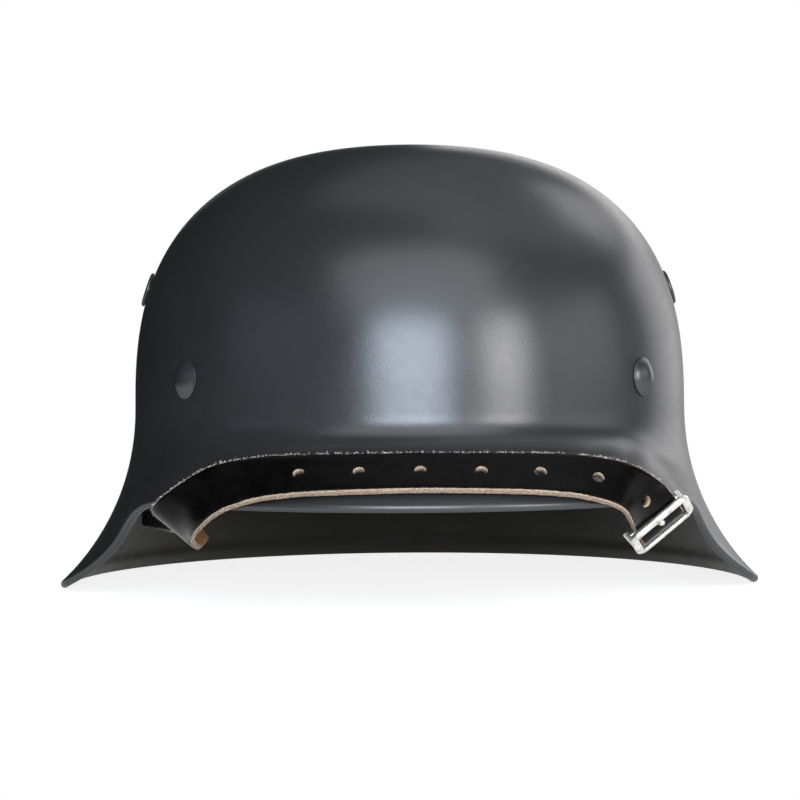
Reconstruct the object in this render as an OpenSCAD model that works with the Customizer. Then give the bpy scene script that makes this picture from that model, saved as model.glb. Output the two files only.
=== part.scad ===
// Steel helmet with a flared skirt, a two-band leather liner and a buckled chinstrap.
// X points to the viewer's right, -Y to the front and +Z up. The rim stands on z = 0.
// Angles round the helmet are in degrees from the front, positive towards +X.

/* [Crown] */
// Half of the crown's width at the foot of the dome, outside
crown_half_w = 93.7; // [88:0.1:100]
// Half of the crown's length at the foot of the dome, outside
crown_half_l = 112; // [105:0.5:120]
// Height of the crown above the plane the rim stands on
crown_h = 150.4; // [140:0.2:165]
// Height of the foot of the dome at the sides and back
wall_z = 62; // [58:0.5:68]
// How much higher the foot of the dome is at the front
wall_rise = 0; // [-4:0.5:6]
// Fullness of the dome, where 2 gives an ellipse
dome_power = 2.57; // [2.2:0.01:2.9]
// Thickness of the steel sheet
sheet_t = 1.2; // [1:0.1:1.6]

/* [Rim] */
// Distance from the crown's axis to the visor's edge
visor_reach = 147; // [140:0.5:155]
// Radius of the visor's edge seen from above
visor_plan_r = 91; // [84:1:100]
// Height of the visor's edge
visor_z = 34.6; // [30:0.2:40]
// Angle at which the visor's edge starts to fall
drop_start = 34; // [30:1:40]
// Angle at which the edge has reached the skirt
drop_end = 92; // [84:1:96]
// Angle at which the visor's outline starts to run into the skirt's
merge_start = 36; // [30:1:42]
// Angle at which the outline is all skirt
merge_end = 88; // [80:1:94]
// Half of the skirt's greatest width
skirt_half_w = 120; // [114:0.5:128]
// Distance from the crown's axis to the skirt's edge at the back
skirt_reach = 135; // [128:0.5:145]
// How far behind the crown's axis the skirt is widest
skirt_back = 10; // [4:1:16]
// Width of the folded hem along the edge
hem_w = 5.5; // [4:0.5:8]
// Thickness of the folded hem
hem_t = 2.8; // [2.4:0.1:3.4]

/* [Flare] */
// Share of the flare's reach that lies in its last straight run, at the skirt
flare_out_skirt = 0.53; // [0.45:0.01:0.6]
// The same share at the visor
flare_out_visor = 0.43; // [0.35:0.01:0.5]
// Share of the wall's height that lies in that run, at the skirt
flare_up_skirt = 0.195; // [0.15:0.005:0.25]
// The same share at the visor
flare_up_visor = 0.45; // [0.35:0.005:0.5]
// Share of the wall's height that stays upright below the dome, at the skirt
flare_hold_skirt = 0.44; // [0.35:0.01:0.5]
// The same share at the visor
flare_hold_visor = 0.6; // [0.4:0.01:0.65]

/* [Vents and pins] */
// Angle of the air vents
vent_a = 86; // [80:1:92]
// Height of the air vents
vent_z = 102; // [94:1:108]
// Diameter of the vent bushing's flange
vent_flange_d = 11.8; // [10:0.2:14]
// Diameter of the bore through the vent bushing
vent_bore_d = 5.4; // [4:0.2:6]
// Wall of the vent bushing's tube
vent_wall = 0.9; // [0.7:0.1:1.2]
// Height of the vent bushing's outer flange
vent_flange_t = 1.2; // [0.8:0.1:1.6]
// Angle of the two front liner pins
pin_a = 45; // [42:1:50]
// Height of the liner pins
pin_z = 72; // [69:0.5:75]
// Diameter of a liner pin's head
pin_head_d = 12.4; // [10:0.2:14]
// Height of a liner pin's head
pin_head_h = 2.6; // [2:0.1:3.4]
// Diameter of a liner pin's shank
pin_d = 4.6; // [4:0.1:5.4]
// Distance a liner pin's split leg reaches from the shank's axis
pin_leg = 7.5; // [6.5:0.5:9]
// Diameter of the washer under the pin's legs
washer_d = 12; // [10:0.5:13]
// Thickness of that washer
washer_t = 0.8; // [0.6:0.1:1]

/* [Liner] */
// Gap between the shell's outside and the outer band's outside, sheet included
band_inset = 2.6; // [2.5:0.1:3]
// Thickness of both bands
band_t = 1; // [0.8:0.1:1.2]
// Height of the outer band
outer_band_h = 20; // [16:1:22]
// Gap between the two bands
spring_gap = 4.6; // [4.2:0.1:6]
// Lower edge of the inner band
inner_band_z = 54; // [52:0.5:56]
// Height of the inner band
inner_band_h = 26; // [24:1:30]
// Thickness of a leaf spring
spring_t = 0.6; // [0.5:0.1:0.8]
// Height of a leaf spring
spring_h = 12; // [9:1:14]
// Half of the angle that a leaf spring covers
spring_half_a = 8.5; // [7:0.5:9.5]
// Thickness of the felt ring
felt_t = 2; // [1.5:0.1:2.5]
// Height of the felt ring
felt_h = 17; // [12:1:18]
// Thickness of the liner leather
leather_t = 1.6; // [1.2:0.1:2]
// Lower edge of the liner leather
leather_z = 50; // [48:0.5:51]
// Height at which the fingers leave the headband
finger_z = 82; // [80:0.5:88]
// Height to which the fingers' dome would close
finger_top_z = 127; // [118:1:132]
// Radius of the opening that the finger tips leave
finger_tip_r = 24; // [18:1:30]
// Number of leather rivets round the headband
leather_rivets_n = 18; // [18:18:36]
// Diameter of the tie string
string_d = 1.8; // [1.4:0.1:2.4]

/* [Bails] */
// Wire of the chinstrap bails
bail_d = 2.4; // [2:0.1:2.6]
// Distance between the centres of a bail's arms
bail_w = 19; // [18.5:0.5:22]
// Distance from a bail's hinge to its lower bar
bail_h = 10; // [9:0.5:12]
// Radial clearance of a bail in its bracket
bail_play = 0.05; // [0.04:0.01:0.1]
// Wall of the bracket's curl
curl_wall = 0.85; // [0.7:0.05:1]
// Width of a bracket
bracket_w = 14; // [12:0.5:14.5]
// Thickness of a bracket's plate
bracket_t = 0.8; // [0.6:0.1:1]

/* [Chinstrap] */
// Width of the chinstrap
strap_w = 15.5; // [14:0.1:16]
// Thickness of the chinstrap leather
strap_t = 2.1; // [1.8:0.1:2.3]
// Clearance between the strap and what it lies on
strap_gap = 0.3; // [0.2:0.05:0.5]
// Diameter of the punched holes
hole_d = 3.4; // [3:0.1:4]
// Distance between the punched holes
hole_pitch = 17.5; // [16:0.1:19]
// Distance from the prong's hole to the next one
hole_lead = 10.3; // [7:0.1:18]
// Number of punched holes beside the one that the prong uses
hole_n = 7; // [5:1:8]
// Length of the strap's end beyond the buckle
tail_l = 24; // [18:1:30]
// Length of the ply that is folded back at a loop
ply_l = 17; // [14:0.5:20]

/* [Buckle] */
// Distance between the middles of the buckle's front bar and rear bar
buckle_l = 12; // [11.5:0.5:14]
// Distance between the middles of the buckle's sides
buckle_w = 19.2; // [18.6:0.2:22]
// Thickness of the buckle's front bar
buckle_d = 2.2; // [1.8:0.1:2.4]
// Width of the buckle's sides
buckle_side = 2.4; // [2:0.1:2.8]
// Thickness of the buckle's sides and rear bar
buckle_t = 1.4; // [1.2:0.1:1.8]
// Thickness of the axle that carries the prong and the short strap
axle_d = 1.8; // [1.6:0.1:2]
// Thickness of the strap where it is pared down for its loops
pared_t = 1.2; // [1:0.1:1.5]
// Thickness of the prong
prong_t = 1.4; // [1.2:0.1:1.6]
// Width of the prong
prong_w = 1.6; // [1.4:0.1:2]

/* [Hidden] */

// Puts the middle of the helmet's outline on the origin
crown_y = (visor_reach - skirt_reach) / 2;

// Facets
shell_steps = 64;
dome_rings = 12;
flare_rings = 8;
band_steps = 72;
round_steps = 40;
thin_steps = 24;
nudge = 0.004;

// Clearances between pieces of the helmet that don't move
seat = 0.1;
hole_play = 0.2;

// Depths below the shell's outer surface, measured square to it
outer_band_in = band_inset + band_t;
inner_band_out = outer_band_in + spring_gap;
inner_band_in = inner_band_out + band_t;
felt_out = inner_band_in + 0.2;
leather_low_out = inner_band_in + 0.2;
leather_top_out = felt_out + felt_t + 0.2;

outer_band_z = pin_z - outer_band_h / 2;
spring_angles = [18, 68, 140, 220, 292, 342];
spring_rivet_d = 2.4;
leather_rivet_d = 2.4;
leather_rivet_z = inner_band_z + 2.6;
bracket_rivet_x = 4.5;
bracket_rivet_d = 2.4;
rivet_head_t = 0.6;
rivet_head_d = 4.4;

// Round the helmet

function ease(x, low, high) =
    let (t = min(1, max(0, (x - low) / (high - low))))
    t * t * (3 - 2 * t);

function mix(p, q, t) = p * (1 - t) + q * t;

function unit(v) = v / norm(v);

function turn(a) =
    let (b = abs(a))
    b > 180 ? 360 - b : b;

function visor_share(a) = 1 - ease(turn(a), drop_start, drop_end);

function crown_r(a, inset = 0) =
    1 / norm([sin(a) / (crown_half_w - inset), cos(a) / (crown_half_l - inset)]);

// Direction of the crown's outward normal seen from above
function facing(a) = atan2(sin(a) / pow(crown_half_w, 2), cos(a) / pow(crown_half_l, 2));

function visor_r(a) =
    let (c = visor_reach - visor_plan_r)
    c * cos(a) + sqrt(pow(visor_plan_r, 2) - pow(c * sin(a), 2));

// Where a line from the crown's axis meets the skirt's ellipse
function skirt_r(a) =
    let (half_l = skirt_reach - skirt_back)
    let (qa = pow(sin(a) / skirt_half_w, 2) + pow(cos(a) / half_l, 2))
    let (qb = 2 * cos(a) * skirt_back / pow(half_l, 2))
    let (qc = pow(skirt_back / half_l, 2) - 1)
    (sqrt(qb * qb - 4 * qa * qc) - qb) / (2 * qa);

function rim_r(a) = mix(visor_r(a), skirt_r(a), ease(turn(a), merge_start, merge_end));

function rim_z(a) = visor_z * visor_share(a);

function polar(a, rz) = [rz[0] * sin(a), -rz[0] * cos(a), rz[1]];

// Down the helmet: s runs from 0 at the top over 1 at the foot of the dome to 2 at the edge

function foot_z(a) = wall_z + wall_rise * visor_share(a);

function flare_run(a) =
    let (share = visor_share(a))
    [
        mix(flare_out_skirt, flare_out_visor, share) * (rim_r(a) - crown_r(a)),
        -mix(flare_up_skirt, flare_up_visor, share) * (foot_z(a) - rim_z(a))
    ];

// The edge's centre is raised so that the round of the hem just reaches the rim's height
function flare_ctrl(a) =
    let (run = flare_run(a))
    let (end = [rim_r(a), rim_z(a) + hem_t / 2 * (1 + run[0] / norm(run))])
    let (top = [crown_r(a), foot_z(a)])
    let (hold = mix(flare_hold_skirt, flare_hold_visor, visor_share(a)))
    [top, [top[0], top[1] - hold * (top[1] - end[1])], end - run, end];

function bezier(p, u) =
    p[0] * pow(1 - u, 3) + p[1] * 3 * u * pow(1 - u, 2) + p[2] * 3 * u * u * (1 - u)
    + p[3] * pow(u, 3);

function dome(a, s) =
    let (foot = foot_z(a))
    [
        crown_r(a) * pow(sin(90 * s), 2 / dome_power),
        foot + (crown_h - foot) * pow(cos(90 * s), 2 / dome_power)
    ];

function profile(a, s) = s <= 1 ? dome(a, s) : bezier(flare_ctrl(a), s - 1);

function along(a, s) = unit(profile(a, min(s + nudge, 2)) - profile(a, min(s, 2 - nudge)));

function outward(a, s) =
    let (d = along(a, s))
    [-d[1], d[0]];

function skin(a, s, inset) = profile(a, s) - inset * outward(a, s);

function hem_s(a) = 2 - hem_w / (3 * norm(flare_run(a)));

function flare_stops(a) = [for (i = [1:flare_rings]) 1 + (hem_s(a) - 1) * i / flare_rings];

function dome_stops() = [for (i = [1:dome_rings]) i / dome_rings];

// One slice of the shell: down the outside, round the hem and up the inside
function shell_slice(a) =
    let (down = concat(dome_stops(), flare_stops(a)))
    let (up = [for (i = [len(down) - 1:-1:0]) down[i]])
    let (n = outward(a, 2))
    let (d = along(a, 2))
    let (mid = profile(a, 2) - n * hem_t / 2)
    concat(
        [for (s = down) profile(a, s)],
        [for (t = [0:45:180]) mid + hem_t / 2 * (n * cos(t) + d * sin(t))],
        [skin(a, hem_s(a), hem_t)],
        [for (s = up) skin(a, s, sheet_t)]
    );

// Height to share of the dome, and the dome's lean at that height
function dome_share(a, z) = (z - foot_z(a)) / (crown_h - foot_z(a));

function wall_r(a, z) =
    let (t = max(0, dome_share(a, z)))
    crown_r(a) * pow(1 - pow(t, dome_power), 1 / dome_power);

function lean(a, z) =
    let (t = max(0, dome_share(a, z)))
    let (fall = pow(t, dome_power - 1) * pow(1 - pow(t, dome_power), 1 / dome_power - 1))
    atan(crown_r(a) / (crown_h - foot_z(a)) * fall);

// Local +Z points out of the shell, local +Y up it
module on_shell(a, z) {
    translate(polar(a, [wall_r(a, z), z]))
        rotate([90 - lean(a, z), 0, facing(a)])
            children();
}

module on_band(a, inset, z) {
    translate(polar(a, [crown_r(a, inset), z]))
        rotate([90, 0, facing(a)])
            children();
}

module placed() {
    translate([0, crown_y, 0])
        children();
}

// Closed skins from rows of points

function quad(p, q, r, s) = [[p, q, r], [p, r, s]];

function flat(lists) = [for (list = lists) each list];

module shell_body() {
    slices = [for (i = [0:shell_steps - 1]) shell_slice(360 * i / shell_steps)];
    m = len(slices[0]);
    n = shell_steps;
    points = concat(
        flat([for (i = [0:n - 1]) [for (p = slices[i]) polar(360 * i / n, p)]]),
        [[0, 0, crown_h], [0, 0, crown_h - sheet_t]]
    );
    sides = [for (i = [0:n - 1]) for (j = [0:m - 2])
        let (k = (i + 1) % n)
        quad(i * m + j, k * m + j, k * m + j + 1, i * m + j + 1)];
    caps = [for (i = [0:n - 1])
        let (k = (i + 1) % n)
        [[n * m, k * m, i * m], [i * m + m - 1, k * m + m - 1, n * m + 1]]];
    polyhedron(points, concat(flat(sides), flat(caps)), convexity = 6);
}

function pin_places() = [-pin_a, pin_a, 180];

module shell() {
    color("#3b3e44")
        placed()
            difference() {
                shell_body();
                for (a = pin_places())
                    on_shell(a, pin_z)
                        cylinder(d = pin_d + 2 * hole_play, h = 12, center = true, $fn = thin_steps);
                for (a = [-vent_a, vent_a])
                    on_shell(a, vent_z)
                        cylinder(d = vent_tube_d + 2 * hole_play, h = 12, center = true,
                            $fn = round_steps);
            }
}

// Vent bushing: a hollow rivet with a raised flange outside and a rolled one inside
vent_tube_d = vent_bore_d + 2 * vent_wall;
vent_inner_flange_t = 0.8;
// The wall curves away from the flat flanges
vent_sink = 0.4;

module vent_bushing(a) {
    tube_end = -sheet_t - vent_sink - vent_inner_flange_t;
    bore_r = vent_bore_d / 2;
    flange_r = vent_flange_d / 2;
    color("#3b3e44")
        placed()
            on_shell(a, vent_z)
                rotate_extrude($fn = round_steps)
                    polygon([
                        [bore_r, tube_end],
                        [flange_r - 1, tube_end],
                        [flange_r - 1, tube_end + vent_inner_flange_t - 0.3],
                        [vent_tube_d / 2, tube_end + vent_inner_flange_t - 0.1],
                        [vent_tube_d / 2, seat],
                        [flange_r, seat],
                        [flange_r - 0.15, vent_flange_t * 0.6],
                        [flange_r - 0.7, vent_flange_t],
                        [bore_r, vent_flange_t]
                    ]);
}

// Liner pin: a domed head, a shank through shell and band, and two legs bent apart
module liner_pin(a) {
    head_r = pin_head_d / 2;
    ball_r = (head_r * head_r + pin_head_h * pin_head_h) / (2 * pin_head_h);
    leg_top = -outer_band_in - seat * 4 - washer_t - seat;
    leg_t = 0.8;
    leg_w = 3.6;
    color("#3b3e44")
        placed()
            on_shell(a, pin_z)
                union() {
                    translate([0, 0, seat])
                        intersection() {
                            translate([0, 0, pin_head_h - ball_r])
                                sphere(r = ball_r, $fn = round_steps);
                            cylinder(r = head_r, h = pin_head_h, $fn = round_steps);
                        }
                    translate([0, 0, leg_top - leg_t])
                        cylinder(d = pin_d, h = seat * 3 - leg_top + leg_t, $fn = thin_steps);
                    translate([-pin_leg, -leg_w / 2, leg_top - leg_t])
                        cube([2 * pin_leg, leg_w, leg_t]);
                }
}

module pin_washers() {
    color("#8d8a82")
        placed()
            for (a = pin_places())
                on_shell(a, pin_z)
                    translate([0, 0, -outer_band_in - seat * 4 - washer_t])
                        difference() {
                            cylinder(d = washer_d, h = washer_t, $fn = round_steps);
                            translate([0, 0, -1])
                                cylinder(d = pin_d + 2 * hole_play, h = washer_t + 2, $fn = thin_steps);
                        }
}

// Bands, springs and felt follow the crown's outline
function ring_line(inset) =
    [for (i = [0:band_steps - 1])
        let (a = 360 * i / band_steps)
        [crown_r(a, inset) * sin(a), -crown_r(a, inset) * cos(a)]];

module ring(inset, thick, z, high) {
    difference() {
        translate([0, 0, z])
            linear_extrude(high)
                polygon(ring_line(inset));
        translate([0, 0, z - 1])
            linear_extrude(high + 2)
                polygon(ring_line(inset + thick));
    }
}

// Holes and rivets share an axis that is square to the inner band's outside
module rivet_hole(a, z, x, d) {
    on_band(a, inner_band_out, z)
        translate([x, 0, 0])
            cylinder(d = d + 2 * hole_play, h = 24, center = true, $fn = thin_steps);
}

function spring_ends(a) = [for (side = [-1, 1]) a + side * spring_half_a * 0.83];

module liner_outer_band() {
    color("#8d8a82")
        placed()
            difference() {
                ring(band_inset, band_t, outer_band_z, outer_band_h);
                for (a = pin_places())
                    on_shell(a, pin_z)
                        cylinder(d = pin_d + 2 * hole_play, h = 12, center = true, $fn = thin_steps);
                for (a = spring_angles)
                    for (b = spring_ends(a))
                        rivet_hole(b, pin_z, 0, spring_rivet_d);
            }
}

function leather_rivet_places() =
    [for (i = [0:leather_rivets_n - 1])
        let (a = 360 * i / leather_rivets_n)
        if (abs(turn(a) - 90) > 6) a];

module liner_inner_band() {
    color("#8d8a82")
        placed()
            difference() {
                ring(inner_band_out, band_t, inner_band_z, inner_band_h);
                for (a = spring_angles)
                    rivet_hole(a, pin_z, 0, spring_rivet_d);
                for (a = leather_rivet_places())
                    rivet_hole(a, leather_rivet_z, 0, leather_rivet_d);
                for (a = [-90, 90])
                    for (x = [-bracket_rivet_x, bracket_rivet_x])
                        rivet_hole(a, bracket_rivet_z, x, bracket_rivet_d);
            }
}

// A leaf spring bows from the outer band at its ends to the inner band at its middle
spring_steps = 16;

function spring_inset(t) =
    let (near = outer_band_in + 2.5 * seat + spring_t / 2)
    let (far = inner_band_out - seat - spring_t / 2)
    mix(far, near, ease(abs(t), 0.15, 0.68));

function spring_line(a, side) =
    [for (i = [-spring_steps:spring_steps])
        let (b = a + spring_half_a * i / spring_steps)
        let (r = crown_r(b, spring_inset(i / spring_steps) + side * spring_t / 2))
        [r * sin(b), -r * cos(b)]];

module band_spring(number) {
    a = spring_angles[number - 1];
    inner = spring_line(a, 1);
    color("#77756f")
        placed()
            difference() {
                translate([0, 0, pin_z - spring_h / 2])
                    linear_extrude(spring_h)
                        polygon(concat(spring_line(a, -1),
                            [for (i = [len(inner) - 1:-1:0]) inner[i]]));
                for (b = [a, each spring_ends(a)])
                    rivet_hole(b, pin_z, 0, spring_rivet_d);
            }
}

// A rivet from one depth to another, with a flat head at each end
module band_rivet(a, z, x, d, from, to, far_head = true) {
    on_band(a, inner_band_out, z)
        translate([x, 0, inner_band_out - to])
            union() {
                cylinder(d = d, h = to - from, $fn = thin_steps);
                if (far_head)
                    cylinder(d = rivet_head_d, h = rivet_head_t, $fn = thin_steps);
                translate([0, 0, to - from - rivet_head_t])
                    cylinder(d = rivet_head_d, h = rivet_head_t, $fn = thin_steps);
            }
}

module spring_rivets() {
    color("#a5a29a")
        placed()
            for (a = spring_angles) {
                band_rivet(a, pin_z, 0, spring_rivet_d,
                    inner_band_out - 2 * seat - spring_t - rivet_head_t, inner_band_in + seat, false);
                for (b = spring_ends(a))
                    band_rivet(b, pin_z, 0, spring_rivet_d, band_inset - seat - rivet_head_t,
                        outer_band_in + 5 * seat + spring_t + rivet_head_t);
            }
}

module felt_ring() {
    color("#8a8578")
        placed()
            ring(felt_out, felt_t, inner_band_z + 8, felt_h);
}

// Liner leather: a headband that steps inwards over the felt, and eight fingers
fingers = 8;
finger_cols = 9;
finger_rows = 7;
finger_power = 2.3;
finger_root_a = 21.3;
finger_end_a = 17;
headband_rows = [
    [leather_low_out, leather_z],
    [leather_low_out, inner_band_z + 5.2],
    [leather_top_out, inner_band_z + 7.8],
    [leather_top_out, finger_z]
];
leather_rows = len(headband_rows) + finger_rows;

function finger_line(a, q) =
    let (root = crown_r(a, leather_top_out))
    let (last = acos(pow(finger_tip_r / root, finger_power / 2)))
    [
        root * pow(cos(q * last), 2 / finger_power),
        finger_z + (finger_top_z - finger_z) * pow(sin(q * last), 2 / finger_power)
    ];

function finger_skin(a, q, inset) =
    let (d = unit(finger_line(a, q + nudge) - finger_line(a, max(0, q - nudge))))
    finger_line(a, q) - inset * [d[1], -d[0]];

function leather_point(finger, col, row, inset) =
    let (q = max(0, (row - len(headband_rows) + 1) / finger_rows))
    let (mid = 360 * (finger + 0.5) / fingers)
    let (a = mid + mix(finger_root_a, finger_end_a, q) * (2 * col / (finger_cols - 1) - 1))
    row < len(headband_rows)
        ? polar(a, [crown_r(a, headband_rows[row][0] + inset), headband_rows[row][1]])
        : polar(a, finger_skin(a, q, inset));

module leather_liner() {
    cols = fingers * finger_cols;
    top = leather_rows - 1;
    root = len(headband_rows) - 1;
    points = [for (f = [0:fingers - 1]) for (c = [0:finger_cols - 1])
        for (r = [0:top]) for (side = [0, 1])
            leather_point(f, c, r, side * leather_t)];
    o = [for (i = [0:cols - 1]) [for (j = [0:top]) 2 * (i * leather_rows + j)]];
    faces = [for (i = [0:cols - 1])
        let (k = (i + 1) % cols)
        let (gap = i % finger_cols == finger_cols - 1)
        let (m = gap ? root : top)
        concat(
            flat([for (j = [0:m - 1]) concat(
                quad(o[i][j + 1], o[k][j + 1], o[k][j], o[i][j]),
                quad(o[i][j] + 1, o[k][j] + 1, o[k][j + 1] + 1, o[i][j + 1] + 1)
            )]),
            quad(o[i][0], o[k][0], o[k][0] + 1, o[i][0] + 1),
            quad(o[k][m], o[i][m], o[i][m] + 1, o[k][m] + 1),
            gap ? flat([for (j = [root:top - 1]) concat(
                quad(o[i][j], o[i][j + 1], o[i][j + 1] + 1, o[i][j] + 1),
                quad(o[k][j + 1], o[k][j], o[k][j] + 1, o[k][j + 1] + 1)
            )]) : []
        )];
    color("#a8794e")
        placed()
            difference() {
                polyhedron(points, flat(faces), convexity = 8);
                for (a = leather_rivet_places())
                    rivet_hole(a, leather_rivet_z, 0, leather_rivet_d);
                for (f = [0:fingers - 1])
                    let (a = 360 * (f + 0.5) / fingers)
                        translate(polar(a, string_base(a)))
                            cylinder(d = string_hole_d, h = 12, center = true, $fn = thin_steps);
            }
}

module leather_rivets() {
    color("#a5a29a")
        placed()
            for (a = leather_rivet_places())
                band_rivet(a, leather_rivet_z, 0, leather_rivet_d,
                    inner_band_out - seat - rivet_head_t,
                    leather_low_out + leather_t + 3 * seat + rivet_head_t);
}

// Tie string: one loop through a hole near each finger's tip, over one gap and under the
// next, with a knot and two ends
string_sides = 6;
string_hole_d = 5;
string_margin = 5;
knot_r = 2.4;
string_end = 22;
// Places between two holes, as shares of the distance
string_stops = [0.03, 0.1, 0.22, 0.5, 0.78, 0.9, 0.97];

function string_base(a) =
    let (root = crown_r(a, leather_top_out))
    let (last = acos(pow(finger_tip_r / root, finger_power / 2)))
    let (q = acos(pow((finger_tip_r + string_margin) / root, finger_power / 2)) / last)
    finger_skin(a, q, leather_t / 2);

function string_point(gap, t) =
    let (a = 360 * (gap + 0.5 + t) / fingers)
    let (swing = leather_t / 2 + string_d / 2 + 0.3)
    let (rise = swing * min(1, min(t, 1 - t) / 0.06))
    polar(a, string_base(a) + [0, gap % 2 == 0 ? rise : -rise]);

// A tube through a list of points, closed into a ring or capped
module tube(path, r, sides, ring = false) {
    n = len(path);
    points = [for (i = [0:n - 1])
        let (before = path[ring ? (i + n - 1) % n : max(0, i - 1)])
        let (after = path[ring ? (i + 1) % n : min(n - 1, i + 1)])
        let (d = unit(after - before))
        let (u = unit(cross(d, [0.1, 0.2, 1])))
        let (v = cross(d, u))
        for (k = [0:sides - 1])
            let (t = 360 * k / sides)
            path[i] + r * (u * cos(t) + v * sin(t))];
    sides_faces = [for (i = [0:n - (ring ? 1 : 2)]) for (k = [0:sides - 1])
        let (j = (i + 1) % n)
        let (l = (k + 1) % sides)
        quad(i * sides + k, j * sides + k, j * sides + l, i * sides + l)];
    ends = ring ? [] : [
        [for (k = [0:sides - 1]) k],
        [for (k = [sides - 1:-1:0]) (n - 1) * sides + k]
    ];
    polyhedron(points, concat(flat(sides_faces), ends), convexity = 4);
}

module tie_string() {
    knot = string_point(fingers - 1, 0.5);
    color("#5b4632")
        placed() {
            tube([for (gap = [0:fingers - 1]) for (t = string_stops) string_point(gap, t)],
                string_d / 2, string_sides, true);
            translate(knot)
                sphere(r = knot_r, $fn = thin_steps);
            for (side = [-1, 1])
                tube([for (i = [0:6])
                        let (t = i / 6)
                        knot + [side * (0.6 + 7 * t), 3 * t, -string_end * pow(t, 1.3)]],
                    string_d / 2, string_sides);
        }
}

// Bails hang from curled brackets on the inner band

bail_bore_d = bail_d + 2 * bail_play;
curl_d = bail_bore_d + 2 * curl_wall;
hinge_z = inner_band_z + 0.8;
hinge_out = curl_d / 2 + seat;
hinge_x = crown_half_w - inner_band_out + hinge_out;
bracket_rivet_z = inner_band_z + 9;
bail_bar_z = hinge_z - bail_h;
bail_corner = 1.9;

module bail_bracket(side) {
    color("#8d8a82")
        placed()
            on_band(90 * side, inner_band_out, hinge_z)
                difference() {
                    union() {
                        translate([0, 0, hinge_out])
                            rotate([0, 90, 0])
                                cylinder(d = curl_d, h = bracket_w, center = true, $fn = round_steps);
                        translate([-bracket_w / 2, 0, seat])
                            cube([bracket_w, bracket_rivet_z + 4 - hinge_z, bracket_t]);
                    }
                    translate([0, 0, hinge_out])
                        rotate([0, 90, 0])
                            cylinder(d = bail_bore_d, h = bracket_w + 2, center = true,
                                $fn = round_steps);
                    for (x = [-bracket_rivet_x, bracket_rivet_x])
                        translate([x, bracket_rivet_z - hinge_z, 0])
                            cylinder(d = bracket_rivet_d + 2 * hole_play, h = 4, center = true,
                                $fn = thin_steps);
                }
}

module bracket_rivets() {
    color("#a5a29a")
        placed()
            for (side = [-1, 1])
                for (x = [-bracket_rivet_x, bracket_rivet_x])
                    band_rivet(90 * side, bracket_rivet_z, x, bracket_rivet_d,
                        inner_band_out - 2 * seat - bracket_t - rivet_head_t,
                        inner_band_in + seat, false);
}

// A rectangle of wire in the XY plane with round corners, w by h between bar centres
module wire_frame(w, h, d, corner) {
    for (sx = [-1, 1])
        translate([sx * w / 2, 0, 0])
            rotate([90, 0, 0])
                cylinder(d = d, h = h - 2 * corner, center = true, $fn = thin_steps);
    for (sy = [-1, 1])
        translate([0, sy * h / 2, 0])
            rotate([0, 90, 0])
                cylinder(d = d, h = w - 2 * corner, center = true, $fn = thin_steps);
    for (i = [0:3])
        rotate([0, 0, 90 * i])
            translate([(i % 2 == 0 ? w : h) / 2 - corner, (i % 2 == 0 ? h : w) / 2 - corner, 0])
                rotate_extrude(angle = 90, $fn = round_steps)
                    translate([corner, 0])
                        circle(d = d, $fn = thin_steps);
}

module bail(side) {
    color("#a5a29a")
        placed()
            translate([side * hinge_x, 0, hinge_z - bail_h / 2])
                rotate([90, 0, 90])
                    wire_frame(bail_w, bail_h, bail_d, bail_corner);
}

// Chinstrap: stations of [point, outward direction] from the left bail over the visor
// to the right bail

strap_bend = bail_d / 2 + strap_gap + strap_t / 2;
strap_drop = 3;
strap_turn = 12;
visor_end_a = 24.5;
visor_angles = [-visor_end_a, -20, -15, -10, -5, 0, 5, 10, 15, 20, visor_end_a];

function visor_s(a) =
    let (t = abs(a) / visor_end_a)
    1.806 + 0.08 * pow(t, 1.5) + 0.11 * pow(t, 5);

// The strap's lower edge rests on the visor and its upper edge stands off by this angle
function strap_lean(a) = 13 + 6 * pow(abs(a) / visor_end_a, 4);

function visor_station(a) =
    let (s = visor_s(a))
    let (n = outward(a, s))
    let (b = strap_lean(a))
    let (rise = strap_w / 2 * sin(b) + 0.9 * pow(a / visor_end_a, 2))
    [
        polar(a, skin(a, s, -strap_t / 2 - strap_gap - rise)),
        polar(a, [n[0] * cos(b) + n[1] * sin(b), n[1] * cos(b) - n[0] * sin(b)])
    ];

function near_rim(a, out, up) = polar(a, [rim_r(a) + out, rim_z(a) + up]);

function mirror_x(station) =
    [for (v = station) [-v[0], v[1], v[2]]];

// From a bail's lower bar down, round a bend to the front, and along inside the skirt
bail_out = hinge_x + strap_bend;
bail_stations = concat(
    [[[bail_out, 0, bail_bar_z], [1, 0, 0]]],
    [for (t = [0:22.5:90])
        [
            [bail_out, -strap_turn * (1 - cos(t)), bail_bar_z - strap_drop - strap_turn * sin(t)],
            [1, 0, 0]
        ]]
);
inner_end = bail_stations[len(bail_stations) - 1][0];

function inner_run(goal, n, sag) =
    [for (t = [0.08, 0.22, 0.42, 0.65, 0.86])
        [mix(inner_end, goal, t) - [4 * sag * t * (1 - t), 0, 0], unit(mix([1, 0, 0], n, t))]];

left_under = [near_rim(34.8, -10.6, -4.8), [0.78, 0.1, -0.62]];
left_side = concat(
    bail_stations,
    inner_run(left_under[0], left_under[1], 2.5),
    [
        left_under,
        [near_rim(33.9, -4.8, -7.3), [0.67, 0.1, -0.74]],
        [near_rim(32.7, 1.9, -5), [0.62, -0.3, -0.72]],
        [near_rim(28.7, 4.2, 0.5), [0.4, -0.75, 0.15]]
    ]
);

// The buckle's own frame: t along the strap, w across it and n out of it
buckle_at = near_rim(31.5, 1, -4.7);
buckle_ahead = unit([0.307, 0.849, -0.43]);
buckle_n = unit(cross(cross(buckle_ahead, [0.54, -0.515, -0.634]), buckle_ahead));
buckle_across = cross(buckle_ahead, buckle_n);

function in_buckle(t, w, n) = buckle_at + buckle_ahead * t + buckle_across * w + buckle_n * n;

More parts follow.
